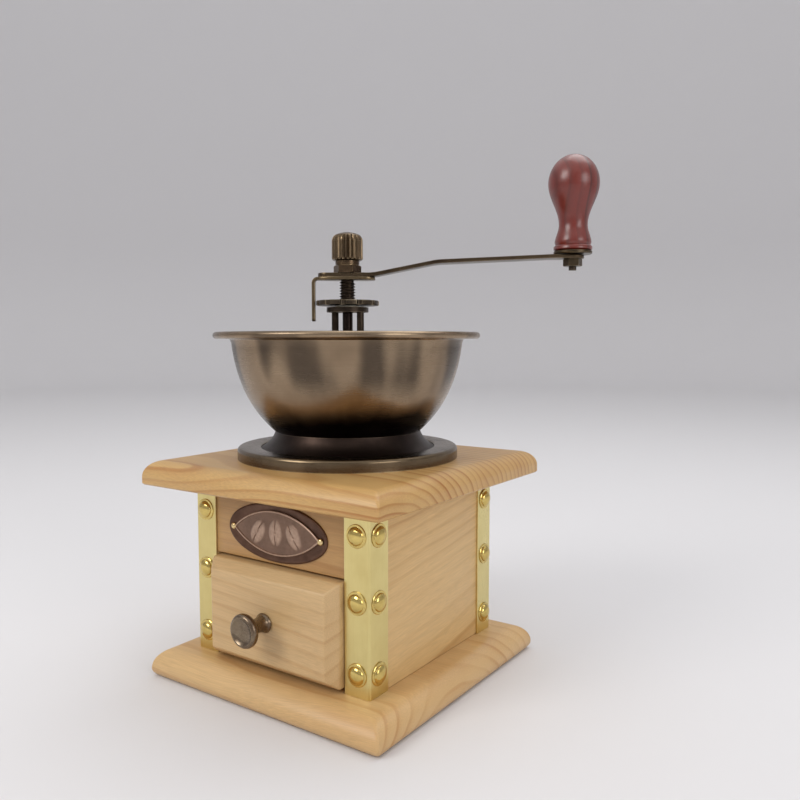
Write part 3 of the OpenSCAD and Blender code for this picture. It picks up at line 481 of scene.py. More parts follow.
# The rubbed edge of a plated piece: where the surface turns quickly, the rounded normal leaves the true
# one.
wear_group, enter, leave = new_group("rubbed_edges", [("Width", 0.0006), ("Amount", 3.0)], ["Worn"])
rounded = add_node(wear_group, "ShaderNodeBevel", [("Radius", enter.outputs["Width"])], samples=4)
true_way = add_node(wear_group, "ShaderNodeNewGeometry")
agree = add_node(wear_group, "ShaderNodeVectorMath",
                 [(0, rounded.outputs["Normal"]), (1, true_way.outputs["Normal"])], operation="DOT_PRODUCT")
turned = calc(wear_group, "SUBTRACT", 1.0, agree.outputs["Value"])
worn = calc(wear_group, "MULTIPLY", turned, enter.outputs["Amount"], clamp=True)
scuff = noise(wear_group, enter.outputs["Vector"], 420.0)
scuffed = calc(wear_group, "MULTIPLY_ADD", scuff, 1.2, 0.2, clamp=True)
wear_group.links.new(calc(wear_group, "MULTIPLY", worn, scuffed), leave.inputs["Worn"])

# Fine lathe or brush lines. The vector is squeezed along the way the lines run before it comes in.
line_group, enter, leave = new_group("tool_lines", [("Gap", 0.0003)], ["Lines"])
dense = calc(line_group, "DIVIDE", 1.0, enter.outputs["Gap"])
line_group.links.new(noise(line_group, enter.outputs["Vector"], dense, 2.0, 0.7), leave.inputs["Lines"])


def plated(name, ground, rubbed, tarnish, rough, blotch_size=0.02, lines="upright", axis=(0, 0, 0),
           tarnish_amount=0.5, wear=(0.0006, 3.0), bump=0.00004):
    """Metal with a plated or oiled finish: tarnish in blotches, rubbed edges and fine tool lines.

    The lines run upright, along X, or round an upright axis through the given point.
    """
    material = bpy.data.materials.new(name)
    material.use_nodes = True
    tree = material.node_tree
    shader = tree.nodes["Principled BSDF"]
    place = add_node(tree, "ShaderNodeTexCoord").outputs["Object"]
    if lines == "round":
        split = add_node(tree, "ShaderNodeSeparateXYZ", [(0, vector_calc(tree, "SUBTRACT", place, axis))])
        square = calc(tree, "MULTIPLY_ADD", split.outputs[1], split.outputs[1],
                      calc(tree, "MULTIPLY", split.outputs[0], split.outputs[0]))
        radius = calc(tree, "SQRT", square)
        squeezed = add_node(tree, "ShaderNodeCombineXYZ", [(0, radius), (1, split.outputs[2])]).outputs[0]
    else:
        along = (0.04, 1, 1) if lines == "level" else (1, 1, 0.04)
        squeezed = vector_calc(tree, "MULTIPLY", place, along)
    aged = place_group(tree, patina_group, place, blotch_size=blotch_size)
    edges = place_group(tree, wear_group, place, width=wear[0], amount=wear[1])
    scored = place_group(tree, line_group, squeezed, gap=0.00045)
    spots = spread(tree, aged.outputs["Blotch"], 0.38, 0.68, 0.0, tarnish_amount)
    dulled = blend(tree, spots, ground, tarnish)
    streaked = blend(tree, calc(tree, "MULTIPLY", scored.outputs["Lines"], 0.28), dulled, tarnish)
    coloured = blend(tree, edges.outputs["Worn"], streaked, rubbed)
    tree.links.new(coloured, shader.inputs["Base Color"])
    shader.inputs["Metallic"].default_value = 1.0
    uneven = calc(tree, "MULTIPLY_ADD", aged.outputs["Blotch"], 0.16, rough - 0.12)
    brushed = calc(tree, "MULTIPLY_ADD", scored.outputs["Lines"], 0.08, uneven)
    tree.links.new(brushed, shader.inputs["Roughness"])
    height = calc(tree, "MULTIPLY_ADD", aged.outputs["Grain"], 0.5, scored.outputs["Lines"])
    ripple = add_node(tree, "ShaderNodeBump", [("Height", height), ("Strength", 0.4), ("Distance", bump)])
    tree.links.new(ripple.outputs["Normal"], shader.inputs["Normal"])
    return material


def set_down(piece, turn=(0, 0, 0), shift=(0, 0, 0)):
    """Turns a finished piece by XYZ degrees about the origin, moves it, and keeps both in its mesh."""
    pick(piece)
    piece.rotation_euler = [math.radians(a) for a in turn]
    piece.location = shift
    bpy.ops.object.transform_apply(location=True, rotation=True, scale=True)


def copy_of(piece, name, turn=(0, 0, 0), shift=(0, 0, 0)):
    """A second piece like the first, with its own mesh, turned and moved."""
    twin = piece.copy()
    twin.data = piece.data.copy()
    twin.name = name
    twin.data.name = name
    bpy.context.scene.collection.objects.link(twin)
    set_down(twin, turn, shift)
    return twin


strip_low, strip_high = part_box("strip_front_right")
sheet_t = 0.0008
bend_r = 0.0012
face = strip_high.x
leg_end = strip_low.x
bend_at = face - bend_r
deselect()
bpy.ops.mesh.primitive_plane_add(
    size=1, location=((leg_end + bend_at) / 2, sheet_t / 2 - face, strip_low.z))
strip = start_piece("strip_front_right_sheet")
bpy.ops.mesh.select_all(action="SELECT")
bpy.ops.transform.resize(value=(bend_at - leg_end, sheet_t, 1), center_override=strip.location)
select_where(strip, "EDGE", lambda middle, way: abs(middle.x - bend_at) < 1e-6)
bpy.ops.mesh.spin(steps=6, angle=math.radians(-90), center=(bend_at, -bend_at, strip_low.z), axis=(0, 0, 1))
select_where(strip, "EDGE", lambda middle, way: abs(middle.y + bend_at) < 1e-6)
bpy.ops.mesh.extrude_edges_move(TRANSFORM_OT_translate={"value": (0, bend_at - leg_end, 0)})
bpy.ops.mesh.select_mode(type="FACE")
bpy.ops.mesh.select_all(action="SELECT")
bpy.ops.mesh.extrude_region_move(TRANSFORM_OT_translate={"value": (0, 0, strip_high.z - strip_low.z)})
close_piece(strip)
break_edges(strip, 0.00018, 2, 60)
strip.data.materials.append(plated(
    "strip_brass", shade(232, 217, 152), shade(252, 242, 196), shade(196, 172, 106),
    0.30, 0.030, "upright", tarnish_amount=0.35))
strips = {"strip_front_right": strip}
for node, turn in (("strip_back_right", 90), ("strip_back_left", 180), ("strip_front_left", 270)):
    strips[node] = copy_of(strip, node + "_sheet", (0, 0, turn))
for node, sheet in strips.items():
    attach(sheet, "housing")
    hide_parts(node)


# ---- Strip nails ----
# Brass-plated dome-headed nails with a thin flange hold the strips, three down each leg. They are
# driven by hand, so that no two sit quite alike.

def arc(centre_radius, centre_height, radius, rise, first, last, steps):
    """Points of an arc, or of an ellipse if the rise differs from the radius, for a turned outline."""
    angles = [math.radians(first + (last - first) * i / steps) for i in range(steps + 1)]
    return [(centre_radius + radius * math.cos(a), centre_height + rise * math.sin(a)) for a in angles]


def turn_piece(name, outline, axis=(0.0, 0.0), count=96, crease=32):
    """Turns an outline of (radius, height) points about an upright axis, as on a lathe.

    An outline that ends where it began makes a ring. Otherwise both ends are closed flat, or come to a
    point where the radius is nothing.
    """
    radius, height = outline[0]
    deselect()
    bpy.ops.mesh.primitive_circle_add(vertices=count, radius=radius, location=(*axis, height))
    piece = start_piece(name)
    bpy.ops.mesh.select_mode(type="EDGE")
    bpy.ops.mesh.select_all(action="SELECT")
    for next_radius, next_height in outline[1:]:
        bpy.ops.mesh.extrude_edges_move(TRANSFORM_OT_translate={"value": (0, 0, next_height - height)})
        ratio = next_radius / radius
        bpy.ops.transform.resize(value=(ratio, ratio, 1), center_override=(*axis, next_height))
        radius, height = next_radius, next_height
    if outline[-1] != outline[0]:
        if radius > 0:
            bpy.ops.mesh.edge_face_add()
        bpy.ops.mesh.select_mode(type="VERT")
        bpy.ops.mesh.select_all(action="SELECT")
        bpy.ops.mesh.remove_doubles(threshold=1e-6)
        bpy.ops.mesh.select_mode(type="EDGE")
        bpy.ops.mesh.select_all(action="DESELECT")
        bpy.ops.mesh.select_non_manifold(extend=False, use_wire=False, use_multi_face=False,
                                         use_non_contiguous=False, use_verts=False)
        bpy.ops.mesh.edge_face_add()
    close_piece(piece, crease)
    return piece


nail_at = 0.04215
nail_rows = (0.021, 0.0495, 0.07575)
most_tilt = 1.2
most_swing = 0.9
nail = turn_piece("strip_nail", [
    (0.0008, -0.0060), (0.0008, 0.0), (0.0046, 0.0), (0.0047, 0.00015), (0.0047, 0.00030),
    (0.0045, 0.00048), (0.0041, 0.00052), (0.0038, 0.00050)]
    + arc(0.0, 0.00055, 0.0037, 0.00165, 0, 90, 9), count=40)
nail.data.materials.append(plated(
    "nail_brass", shade(226, 202, 124), shade(255, 243, 190), shade(158, 126, 60),
    0.15, 0.004, "round", tarnish_amount=0.35, wear=(0.0004, 2.5)))
nails = []
for side in range(4):
    for leg in (-1, 1):
        for row, row_z in enumerate(nail_rows):
            number = side * 6 + (leg + 1) * 3 // 2 + row
            tilt = most_tilt * math.sin(number * 2.4)
            swing = most_swing * math.sin(number * 4.1)
            upright = copy_of(nail, "strip_nail_%02d" % (number + 1), (90 + tilt, 0, swing),
                              (leg * nail_at, -face, row_z))
            set_down(upright, (0, 0, 90 * side))
            nails.append(upright)
bpy.data.objects.remove(nail)
for upright in nails:
    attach(upright, "housing")
    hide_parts("strip_nails")


# ---- Nameplate ----
# A pressed oval plate of browned copper on the front rail. Two raised lines meet at its pins, and three
# coffee beans stand in the middle. The dark finish is rubbed off what stands proud.

plate_low, plate_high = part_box("nameplate")
plate_half_x = plate_high.x
plate_half_z = (plate_high.z - plate_low.z) / 2
plate_z = (plate_high.z + plate_low.z) / 2
plate_back = plate_high.y
ground_h = 0.00085
line_half_x = 0.0240
line_half_z = 0.0093
line_r = (line_half_x ** 2 + line_half_z ** 2) / (2 * line_half_z)
deselect()
bpy.ops.mesh.primitive_circle_add(vertices=128, radius=plate_half_x, fill_type="NGON", location=(0, 0, 0))
plate = start_piece("nameplate_oval")
bpy.ops.mesh.select_all(action="SELECT")
bpy.ops.transform.resize(value=(1, plate_half_z / plate_half_x, 1), center_override=(0, 0, 0))
bpy.ops.mesh.extrude_region_move(TRANSFORM_OT_translate={"value": (0, 0, ground_h * 0.55)})
bpy.ops.mesh.inset(thickness=0.00022, depth=0.00030)
bpy.ops.mesh.inset(thickness=0.00035, depth=0.00012)
bpy.ops.mesh.inset(thickness=0.00100, depth=0.0)
bpy.ops.mesh.inset(thickness=0.00025, depth=-0.00012)
close_piece(plate)


def disc(name, place, radius, height, count=256):
    """A closed round disc to cut with."""
    deselect()
    bpy.ops.mesh.primitive_cylinder_add(vertices=count, radius=radius, depth=height, location=place)
    blank = start_piece(name)
    close_piece(blank)
    return blank


line_h = 0.00042
line_z = ground_h + line_h / 2 - 0.0001
lens = disc("nameplate_line", (0, line_half_z - line_r, line_z), line_r, line_h + 0.0002)
cut_with(lens, disc("lens_cutter", (0, line_r - line_half_z, line_z), line_r, 0.004), "INTERSECT")
pick(lens)
bpy.ops.object.mode_set(mode="EDIT")
select_where(lens, "FACE", lambda middle, normal: normal.z > 0.9)
drawn_in = 0.0
for next_in, rise in ((0.00020, 0.00010), (0.00062, 0.0), (0.00084, -0.00036)):
    bpy.ops.mesh.extrude_region_move(TRANSFORM_OT_translate={"value": (0, 0, rise)})
    bpy.ops.transform.resize(value=(
        (line_half_x - 1.5 * next_in) / (line_half_x - 1.5 * drawn_in),
        (line_half_z - next_in) / (line_half_z - drawn_in), 1), center_override=(0, 0, 0))
    drawn_in = next_in
close_piece(lens)
relief = [lens]
beans = ((-0.0100, -0.0004, 58), (0.0, 0.0002, 90), (0.0100, -0.0004, 122))
for number, (bean_x, bean_y, bean_turn) in enumerate(beans):
    deselect()
    bpy.ops.mesh.primitive_uv_sphere_add(segments=48, ring_count=24, radius=1, location=(0, 0, 0))
    bean = start_piece("nameplate_bean_%d" % (number + 1))
    bpy.ops.mesh.select_all(action="SELECT")
    bpy.ops.transform.resize(value=(0.0064, 0.0042, 0.0010), center_override=(0, 0, 0))
    bpy.ops.mesh.bisect(plane_co=(0, 0, 0), plane_no=(0, 0, 1), use_fill=True, clear_inner=True)
    select_where(bean, "VERT", lambda place, normal: abs(place.y) < 1e-5 and place.z > 0.0002)
    bpy.ops.transform.translate(value=(0, 0, -0.00060))
    select_where(bean, "VERT", lambda place, normal:
                 abs(abs(place.y) - 0.00052) < 0.00024 and place.z > 0.0003)
    bpy.ops.transform.translate(value=(0, 0, -0.00012))
    close_piece(bean, 50)
    set_down(bean, (0, 0, bean_turn), (bean_x, bean_y, ground_h - 0.00026))
    relief.append(bean)
pick(*relief, plate)
bpy.ops.object.join()
set_down(plate, (90, 0, 0), (0, plate_back, plate_z))

relief_group, enter, leave = new_group("rubbed_relief", [("Ground", 0.0), ("Top", 0.001)], ["Proud"])
parts_of = add_node(relief_group, "ShaderNodeSeparateXYZ", [(0, enter.outputs["Vector"])])
proud = spread(relief_group, parts_of.outputs[1], enter.outputs["Ground"], enter.outputs["Top"])
rub = calc(relief_group, "MULTIPLY_ADD", noise(relief_group, enter.outputs["Vector"], 700.0, 3.0),
           0.8, 0.45, clamp=True)
relief_group.links.new(calc(relief_group, "MULTIPLY", proud, rub), leave.inputs["Proud"])
plate_finish = plated("browned_copper", shade(108, 82, 68), shade(184, 150, 126), shade(74, 54, 44),
                      0.40, 0.006, "level", tarnish_amount=0.6, wear=(0.0004, 3.0))
tree = plate_finish.node_tree
shader = tree.nodes["Principled BSDF"]
ground_colour = shader.inputs["Base Color"].links[0].from_socket
where = add_node(tree, "ShaderNodeTexCoord").outputs["Object"]
mask = place_group(tree, relief_group, where, ground=plate_back - ground_h - 0.00005,
                   top=plate_back - ground_h - 0.00048)
bright = blend(tree, mask.outputs["Proud"], ground_colour, shade(186, 158, 138))
tree.links.new(bright, shader.inputs["Base Color"])
plate.data.materials.clear()
plate.data.materials.append(plate_finish)
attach(plate, "housing")
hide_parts("nameplate")


# ---- Nameplate pins ----
# Two small brass pins with domed heads hold the plate, one in each point of its oval. Their shanks are
# driven through it into the rail.

pin_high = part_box("nameplate_pins")[1]
pin_r = 0.0014
pin = turn_piece("nameplate_pin", [(0.0006, -0.0050), (0.0006, 0.0), (0.0013, 0.0), (pin_r, 0.0002)]
                 + arc(0.0, 0.0002, pin_r, 0.0008, 10, 90, 6), count=32)
pin.data.materials.append(plated(
    "pin_brass", shade(236, 214, 160), shade(255, 245, 205), shade(170, 130, 80),
    0.22, 0.003, "round", tarnish_amount=0.3))
pins = [copy_of(pin, "nameplate_pin_" + word, (90, 0, 0),
                (sign * (pin_high.x - pin_r), plate_low.y + 0.0006, plate_z))
        for word, sign in (("left", -1), ("right", 1))]
bpy.data.objects.remove(pin)
for stud in pins:
    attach(stud, "housing")
    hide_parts("nameplate_pins")


# ---- Drawer front ----
# A thick pine board with wide bevels planed round its face and its edges sanded. It closes the drawer,
# and its grain lies level.

front_low, front_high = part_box("drawer_front")
bevel_w = 0.004
bevel_d = 0.005
deselect()
bpy.ops.mesh.primitive_cube_add(size=1, location=(0, (front_low.y + bevel_d + front_high.y) / 2,
                                                  (front_low.z + front_high.z) / 2))
front = start_piece("drawer_front_bevelled")
middle_of_front = tuple(front.location)
front_w, front_d, front_h = front_high - front_low
bpy.ops.mesh.select_all(action="SELECT")
bpy.ops.transform.resize(value=(front_w, front_d - bevel_d, front_h), center_override=middle_of_front)
select_where(front, "FACE", lambda middle, normal: normal.y < -0.9)
bpy.ops.mesh.extrude_region_move(TRANSFORM_OT_translate={"value": (0, -bevel_d, 0)})
bpy.ops.transform.resize(value=(1 - 2 * bevel_w / front_w, 1, 1 - 2 * bevel_w / front_h),
                         center_override=middle_of_front)
close_piece(front)
break_edges(front, 0.0007, 3, 15)
front_pine = pine("pine_drawer_front", shade(208, 176, 128), shade(192, 155, 106),
                  (0.010, -0.010, -0.030), (2, 2, 2), 0.0050, 0.006, 0.46, fade=0.8)
front.data.materials.append(front_pine)
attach(front, "drawer")
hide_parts("drawer_front")


# ---- Drawer box ----
# Thin pine sides and a pine back stand round a plywood floor, glued together behind the front. They are
# plain boards with sanded edges.

drawer_woods = {
    "drawer_left": pine("pine_drawer_left", shade(214, 182, 134), shade(190, 150, 98),
                        (0, 0, -0.012), (0, 4, 90), 0.0050, 0.010),
    "drawer_right": pine("pine_drawer_right", shade(216, 184, 136), shade(192, 152, 100),
                         (0.06, 0, 0.010), (0, -5, 90), 0.0052, 0.010),
    "drawer_back": pine("pine_drawer_back", shade(212, 178, 130), shade(188, 148, 96),
                        (0, 0.05, 0.01), (0, 3, 2), 0.0048, 0.010),
    "drawer_floor": pine("birch_plywood", shade(222, 200, 164), shade(204, 176, 136),
                         (0, 0, -0.090), (0, 1, 3), 0.0090, 0.020),
}
for node, wood in drawer_woods.items():
    board = square_board(node + "_board", node, 0.0003)
    board.data.materials.append(wood)
    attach(board, "drawer")
    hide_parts(node)


# ---- Drawer knob ----
# A small turned knob with a bronze plated finish: a collar against the drawer, a slim stem and a wide
# head with a shallow dish in its face. A screw from inside holds it.

knob_low, knob_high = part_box("drawer_knob")
knob_z = (knob_low.z + knob_high.z) / 2
knob = turn_piece("drawer_knob_turned", [
    (0.0036, 0.0), (0.0040, 0.0002), (0.0042, 0.0006), (0.0041, 0.0010), (0.0037, 0.0014), (0.0033, 0.0022),
    (0.0031, 0.0034), (0.0030, 0.0048), (0.0031, 0.0062), (0.0035, 0.0075), (0.0043, 0.0086),
    (0.0055, 0.0094), (0.0065, 0.0099), (0.0069, 0.0104), (0.0070, 0.0110), (0.0070, 0.0116),
    (0.0068, 0.0122), (0.0064, 0.0127), (0.0059, 0.0130), (0.0055, 0.0130), (0.0052, 0.0128),
    (0.0046, 0.0124), (0.0036, 0.0121), (0.0020, 0.0119), (0.0, 0.01185)], count=64)
set_down(knob, (90, 0, 0), (0, front_low.y, knob_z))
knob.data.materials.append(plated(
    "knob_bronze", shade(142, 128, 108), shade(206, 190, 160), shade(84, 62, 50),
    0.27, 0.006, "level", tarnish_amount=0.6, wear=(0.0006, 2.6)))
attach(knob, "drawer")
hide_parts("drawer_knob")


# ---- Mill foot ----
# A cast iron foot with a wide plate, a deep cove and a bored throat that carries the burrs. It is
# blackened, and screwed down to the top board.

def cubic(points, step):
    """A point on the smooth curve that four (radius, height) points steer."""
    rest = 1 - step
    weights = (rest ** 3, 3 * rest ** 2 * step, 3 * rest * step ** 2, step ** 3)
    return tuple(sum(w * p[i] for w, p in zip(weights, points)) for i in (0, 1))


foot_low, foot_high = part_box("mill_foot")
foot_z = foot_low.z
foot_rim = foot_high.x
cove = [(0.043, 0.0024), (0.0385, 0.005), (0.0345, 0.007), (0.033, 0.012)]
foot_outline = [(foot_rim, 0.0), (foot_rim, 0.0019), (foot_rim - 0.0005, 0.0024)]
foot_outline += [cubic(cove, i / 14) for i in range(15)]
foot_outline += [(0.0222, 0.012), (0.022, 0.0118), (0.022, 0.006), (0.02005, 0.006), (0.02005, 0.0),
                 (foot_rim, 0.0)]
foot = turn_piece("mill_foot_cast", [(r, foot_z + h) for r, h in foot_outline], count=128)
foot.data.materials.append(plated(
    "blackened_iron", shade(62, 50, 44), shade(120, 104, 88), shade(30, 24, 22),
    0.40, 0.018, "round", (0, 0, 0), 0.7, (0.0008, 2.0), 0.00006))
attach(foot, "housing")
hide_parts("mill_foot")


# ---- Trim ring ----
# A pressed ring of bronze plated sheet that sits over the foot's plate and hides its screws. Its outer
# edge is drawn down to the board over a small round.

ring_low, ring_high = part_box("trim_ring")
ring_z = ring_low.z
ring_r = ring_high.x
ring_h = ring_high.z - ring_low.z
ring_hole = 0.0395
ring_round = 0.0016
ring_t = 0.0008
ring_outline = [(ring_r, 0.0), (ring_r, ring_h - ring_round)]
ring_outline += arc(ring_r - ring_round, ring_h - ring_round, ring_round, ring_round, 0, 90, 8)[1:]
ring_outline += [(ring_hole + 0.0012, ring_h), (ring_hole + 0.0004, ring_h - 0.00012),
                 (ring_hole, ring_h - 0.0004), (ring_hole, ring_h - ring_t)]
ring_outline += arc(ring_r - ring_round, ring_h - ring_round, ring_round - ring_t, ring_round - ring_t,
                    90, 0, 8)
ring_outline += [(ring_r - ring_t, 0.0), (ring_r, 0.0)]
ring = turn_piece("trim_ring_pressed", [(r, ring_z + h) for r, h in ring_outline], count=160)
ring.data.materials.append(plated(
    "ring_bronze", shade(122, 106, 84), shade(206, 192, 160), shade(70, 56, 44),
    0.26, 0.022, "round", (0, 0, 0), 0.55, (0.0008, 2.4)))
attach(ring, "housing")
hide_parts("trim_ring")


# ---- Hopper bowl ----
# A spun bowl with a wide flat lip and a rolled edge, plated antique bronze and bright where hands rub it.
# Painted dark reflections hang in streaks under the lip, and a painted dark reflection and shade makes it
# almost black in the hollow above the foot. It is bolted down inside.

bowl_low, bowl_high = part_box("hopper_bowl")
bowl_z = bowl_low.z
bowl_h = bowl_high.z - bowl_low.z
lip_r = bowl_high.x
lip_t = 0.003
wall_t = 0.002
belly = [(0.033, 0.0), (0.04106, 0.00706), (0.0501, 0.0191), (0.0522, 0.0415)]
bowl_outline = [cubic(belly, i / 36) for i in range(36)]
bowl_outline += [(0.05225, 0.0402), (0.0524, 0.0409), (0.0528, 0.0413), (0.0535, 0.0415), (0.0560, 0.0415)]
bowl_outline += arc(lip_r - lip_t / 2, bowl_h - lip_t / 2, lip_t / 2, lip_t / 2, -90, 90, 12)
bowl_outline += [(0.0560, bowl_h), (0.0520, bowl_h), (0.0510, bowl_h - 0.0002), (0.0504, bowl_h - 0.0009)]
for i in range(36, -1, -1):
    here = cubic(belly, i / 36)
    ahead = cubic(belly, min(i / 36 + 0.001, 1))
    behind = cubic(belly, max(i / 36 - 0.001, 0))
    way = (Vector(ahead) - Vector(behind)).normalized()
    inside = (here[0] - wall_t * way.y, here[1] + wall_t * way.x)
    if inside[1] > wall_t + 0.0001:
        bowl_outline.append(inside)
bowl_outline += [(0.031, wall_t), (0.022, wall_t), (0.022, 0.0), (0.033, 0.0)]
bowl = turn_piece("hopper_bowl_spun", [(r, bowl_z + h) for r, h in bowl_outline], count=160)

# Painted dark reflection and shade low on a piece: darker below a height, with an uneven edge.
painted_low_shade_group, enter, leave = new_group(
    "painted_low_shade", [("Height", 0.12), ("Depth", 0.006), ("Waver", 0.012), ("Swing", 40.0)], ["Dark"])
parts_of = add_node(painted_low_shade_group, "ShaderNodeSeparateXYZ", [(0, enter.outputs["Vector"])])
flat = add_node(painted_low_shade_group, "ShaderNodeCombineXYZ", [(0, parts_of.outputs[0]), (1, parts_of.outputs[1])])
edge_noise = noise(painted_low_shade_group, flat.outputs[0], enter.outputs["Swing"], 3.0)
swing = calc(painted_low_shade_group, "MULTIPLY", calc(painted_low_shade_group, "SUBTRACT", edge_noise, 0.5),
             enter.outputs["Waver"])
edge_z = calc(painted_low_shade_group, "ADD", enter.outputs["Height"], swing)
drop = calc(painted_low_shade_group, "DIVIDE", calc(painted_low_shade_group, "SUBTRACT", edge_z, parts_of.outputs[2]),
            enter.outputs["Depth"])
dark = calc(painted_low_shade_group, "MULTIPLY_ADD", drop, 0.5, 0.5, clamp=True)
painted_low_shade_group.links.new(dark, leave.inputs["Dark"])

# Painted dark reflections that hang down from a rim in broad soft streaks.
painted_reflection_group, enter, leave = new_group("painted_lip_reflections", [("Top", 0.15), ("Fall", 0.02)], ["Stain"])
parts_of = add_node(painted_reflection_group, "ShaderNodeSeparateXYZ", [(0, enter.outputs["Vector"])])
stretched_up = vector_calc(painted_reflection_group, "MULTIPLY", enter.outputs["Vector"], (42.0, 42.0, 7.0))
patches = spread(painted_reflection_group, noise(painted_reflection_group, stretched_up, 1.0, 1.5), 0.47, 0.62, ease_kind="SMOOTHSTEP")
below_top = calc(painted_reflection_group, "SUBTRACT", enter.outputs["Top"], parts_of.outputs[2])
depth_down = calc(painted_reflection_group, "DIVIDE", below_top, enter.outputs["Fall"])
off_middle = calc(painted_reflection_group, "ABSOLUTE", calc(painted_reflection_group, "SUBTRACT", depth_down, 0.35))
fading = calc(painted_reflection_group, "SUBTRACT", 1.0, off_middle, clamp=True)
faded = spread(painted_reflection_group, fading, 0.2, 0.8, ease_kind="SMOOTHSTEP")
painted_streak = calc(painted_reflection_group, "MULTIPLY", calc(painted_reflection_group, "MULTIPLY", patches, faded), 0.8)
painted_reflection_group.links.new(painted_streak, leave.inputs["Stain"])

bowl_finish = plated("antique_bronze", shade(160, 140, 116), shade(210, 192, 162), shade(108, 88, 68),
                     0.28, 0.035, "round", (0, 0, 0), 0.5, (0.0009, 2.0))
tree = bowl_finish.node_tree
shader = tree.nodes["Principled BSDF"]
ground_colour = shader.inputs["Base Color"].links[0].from_socket
where = add_node(tree, "ShaderNodeTexCoord").outputs["Object"]
# Painted dark reflection and shade low on the bowl, just above the foot.
low_painted_shade = place_group(tree, painted_low_shade_group, where, height=bowl_z + 0.0105, depth=0.0045, waver=0.018,
                       swing=38.0)
# Painted dark reflections in soft streaks under the bowl's lip.
lip_reflections = place_group(tree, painted_reflection_group, where, top=bowl_z + bowl_h - 0.0040, fall=0.024)
with_lip_reflections = blend(tree, lip_reflections.outputs["Stain"], ground_colour, shade(62, 54, 48))
toned = blend(tree, low_painted_shade.outputs["Dark"], with_lip_reflections, shade(44, 37, 35))
tree.links.new(toned, shader.inputs["Base Color"])
bowl.data.materials.append(bowl_finish)
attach(bowl, "housing")
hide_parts("hopper_bowl")


# ---- Grind adjuster ----
# A thin steel plate with twelve notches screws up and down the shaft's coarse thread. It is blackened,
# with bright rubbed edges round the notches.

dial_low, dial_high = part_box("adjusting_plate")
dial_z = dial_low.z
dial_t = dial_high.z - dial_low.z
dial_r = 0.0142
dial_hole = 0.0037
dial_edge = 0.0003
dial = turn_piece("adjusting_plate_notched", [
    (dial_hole, dial_z), (dial_r - dial_edge, dial_z), (dial_r, dial_z + dial_edge),
    (dial_r, dial_z + dial_t - dial_edge), (dial_r - dial_edge, dial_z + dial_t),
    (dial_hole, dial_z + dial_t), (dial_hole, dial_z)], count=101)
notch_r = 0.0014
notches_at = 0.0146
for number in range(12):
    turn = math.radians(30 * number)
    middle = (notches_at * math.cos(turn), notches_at * math.sin(turn), dial_z + dial_t / 2)
    cut_with(dial, disc("notch", middle, notch_r, 0.006, 31))
smooth(dial, 32)
dark_steel = plated("blackened_steel", shade(84, 74, 62), shade(176, 160, 130), shade(42, 34, 30),
                    0.33, 0.008, "round", (0, 0, 0), 0.6, (0.0005, 3.0))
dial.data.materials.clear()
dial.data.materials.append(dark_steel)
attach(dial, "adjuster")
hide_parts("adjusting_plate")


# ---- Shaft ----
# The upright steel shaft: a plain rod below, a coarse cut thread for the adjusting plate, a square that
# the lock plate and the arm sit on, and a plain end that the two nuts hide.

def wind(piece, pitch, turns, steps):
    """Winds a profile up round the upright axis, with a number of steps in each turn."""
    apply_modifier(piece, "SCREW", axis="Z", angle=math.radians(360), screw_offset=pitch,
                   iterations=turns, steps=steps, render_steps=steps)


shaft_low, shaft_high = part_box("shaft")
lock_low, lock_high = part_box("lock_plate")
thread_pitch = 0.00125
thread_r = 0.0036
root_r = 0.0029
thread_from = dial_low.z + 0.0001
lock_t = 0.0015
thread_to = lock_high.z - lock_t
ridge_foot = 0.92 * thread_pitch
ridge_crest = 0.14
ridge_depth = thread_r - root_r + 0.0001
thread_turns = int((thread_to - thread_from - ridge_foot) / thread_pitch)
deselect()
bpy.ops.mesh.primitive_plane_add(size=1, rotation=(math.radians(90), 0, 0), location=(
    thread_r - ridge_depth / 2, 0, thread_to - ridge_foot / 2 - thread_turns * thread_pitch))
bpy.ops.object.transform_apply(location=False, rotation=True, scale=False)
thread = start_piece("shaft_turned")
bpy.ops.mesh.select_all(action="SELECT")
bpy.ops.mesh.delete(type="ONLY_FACE")
bpy.ops.mesh.select_all(action="SELECT")
bpy.ops.transform.resize(value=(ridge_depth, 1, ridge_foot), center_override=tuple(thread.location))
select_where(thread, "VERT", lambda place, normal: place.x > thread_r - 0.0001)
bpy.ops.transform.resize(value=(1, 1, ridge_crest), center_override=tuple(thread.location))
bpy.ops.object.mode_set(mode="OBJECT")
bpy.ops.object.transform_apply(location=True, rotation=True, scale=True)
wind(thread, thread_pitch, thread_turns, 40)
bpy.ops.object.mode_set(mode="EDIT")
bpy.ops.mesh.select_all(action="SELECT")
bpy.ops.mesh.fill_holes(sides=4)
close_piece(thread, 25)
core = turn_piece("thread_core", [(root_r, thread_from), (root_r, thread_to + 0.0001)], count=80)
rod_r = 0.0023
top_r = 0.0028
rod_edge = 0.0004
lower_rod = turn_piece("shaft_rod", [
    (rod_r - rod_edge, shaft_low.z), (rod_r, shaft_low.z + rod_edge), (rod_r, thread_from + 0.0004)],
    count=48)
upper_rod = turn_piece("shaft_top", [
    (top_r, lock_high.z + 0.0012), (top_r, shaft_high.z - rod_edge), (top_r - rod_edge, shaft_high.z)],
    count=48)
square_w = 0.005
square_to = lock_high.z + 0.0016
deselect()
bpy.ops.mesh.primitive_cube_add(size=1, location=(0, 0, (thread_to + square_to) / 2))
square = start_piece("shaft_square")
bpy.ops.mesh.select_all(action="SELECT")
bpy.ops.transform.resize(value=(square_w, square_w, square_to - thread_to),
                         center_override=tuple(square.location))
select_where(square, "EDGE", lambda middle, way: abs(way.z) > 1e-4)
bpy.ops.mesh.bevel(offset=0.0004, segments=3, affect="EDGES")
close_piece(square)
pick(lower_rod, upper_rod, square, core, thread)
bpy.ops.object.join()
thread.data.materials.clear()
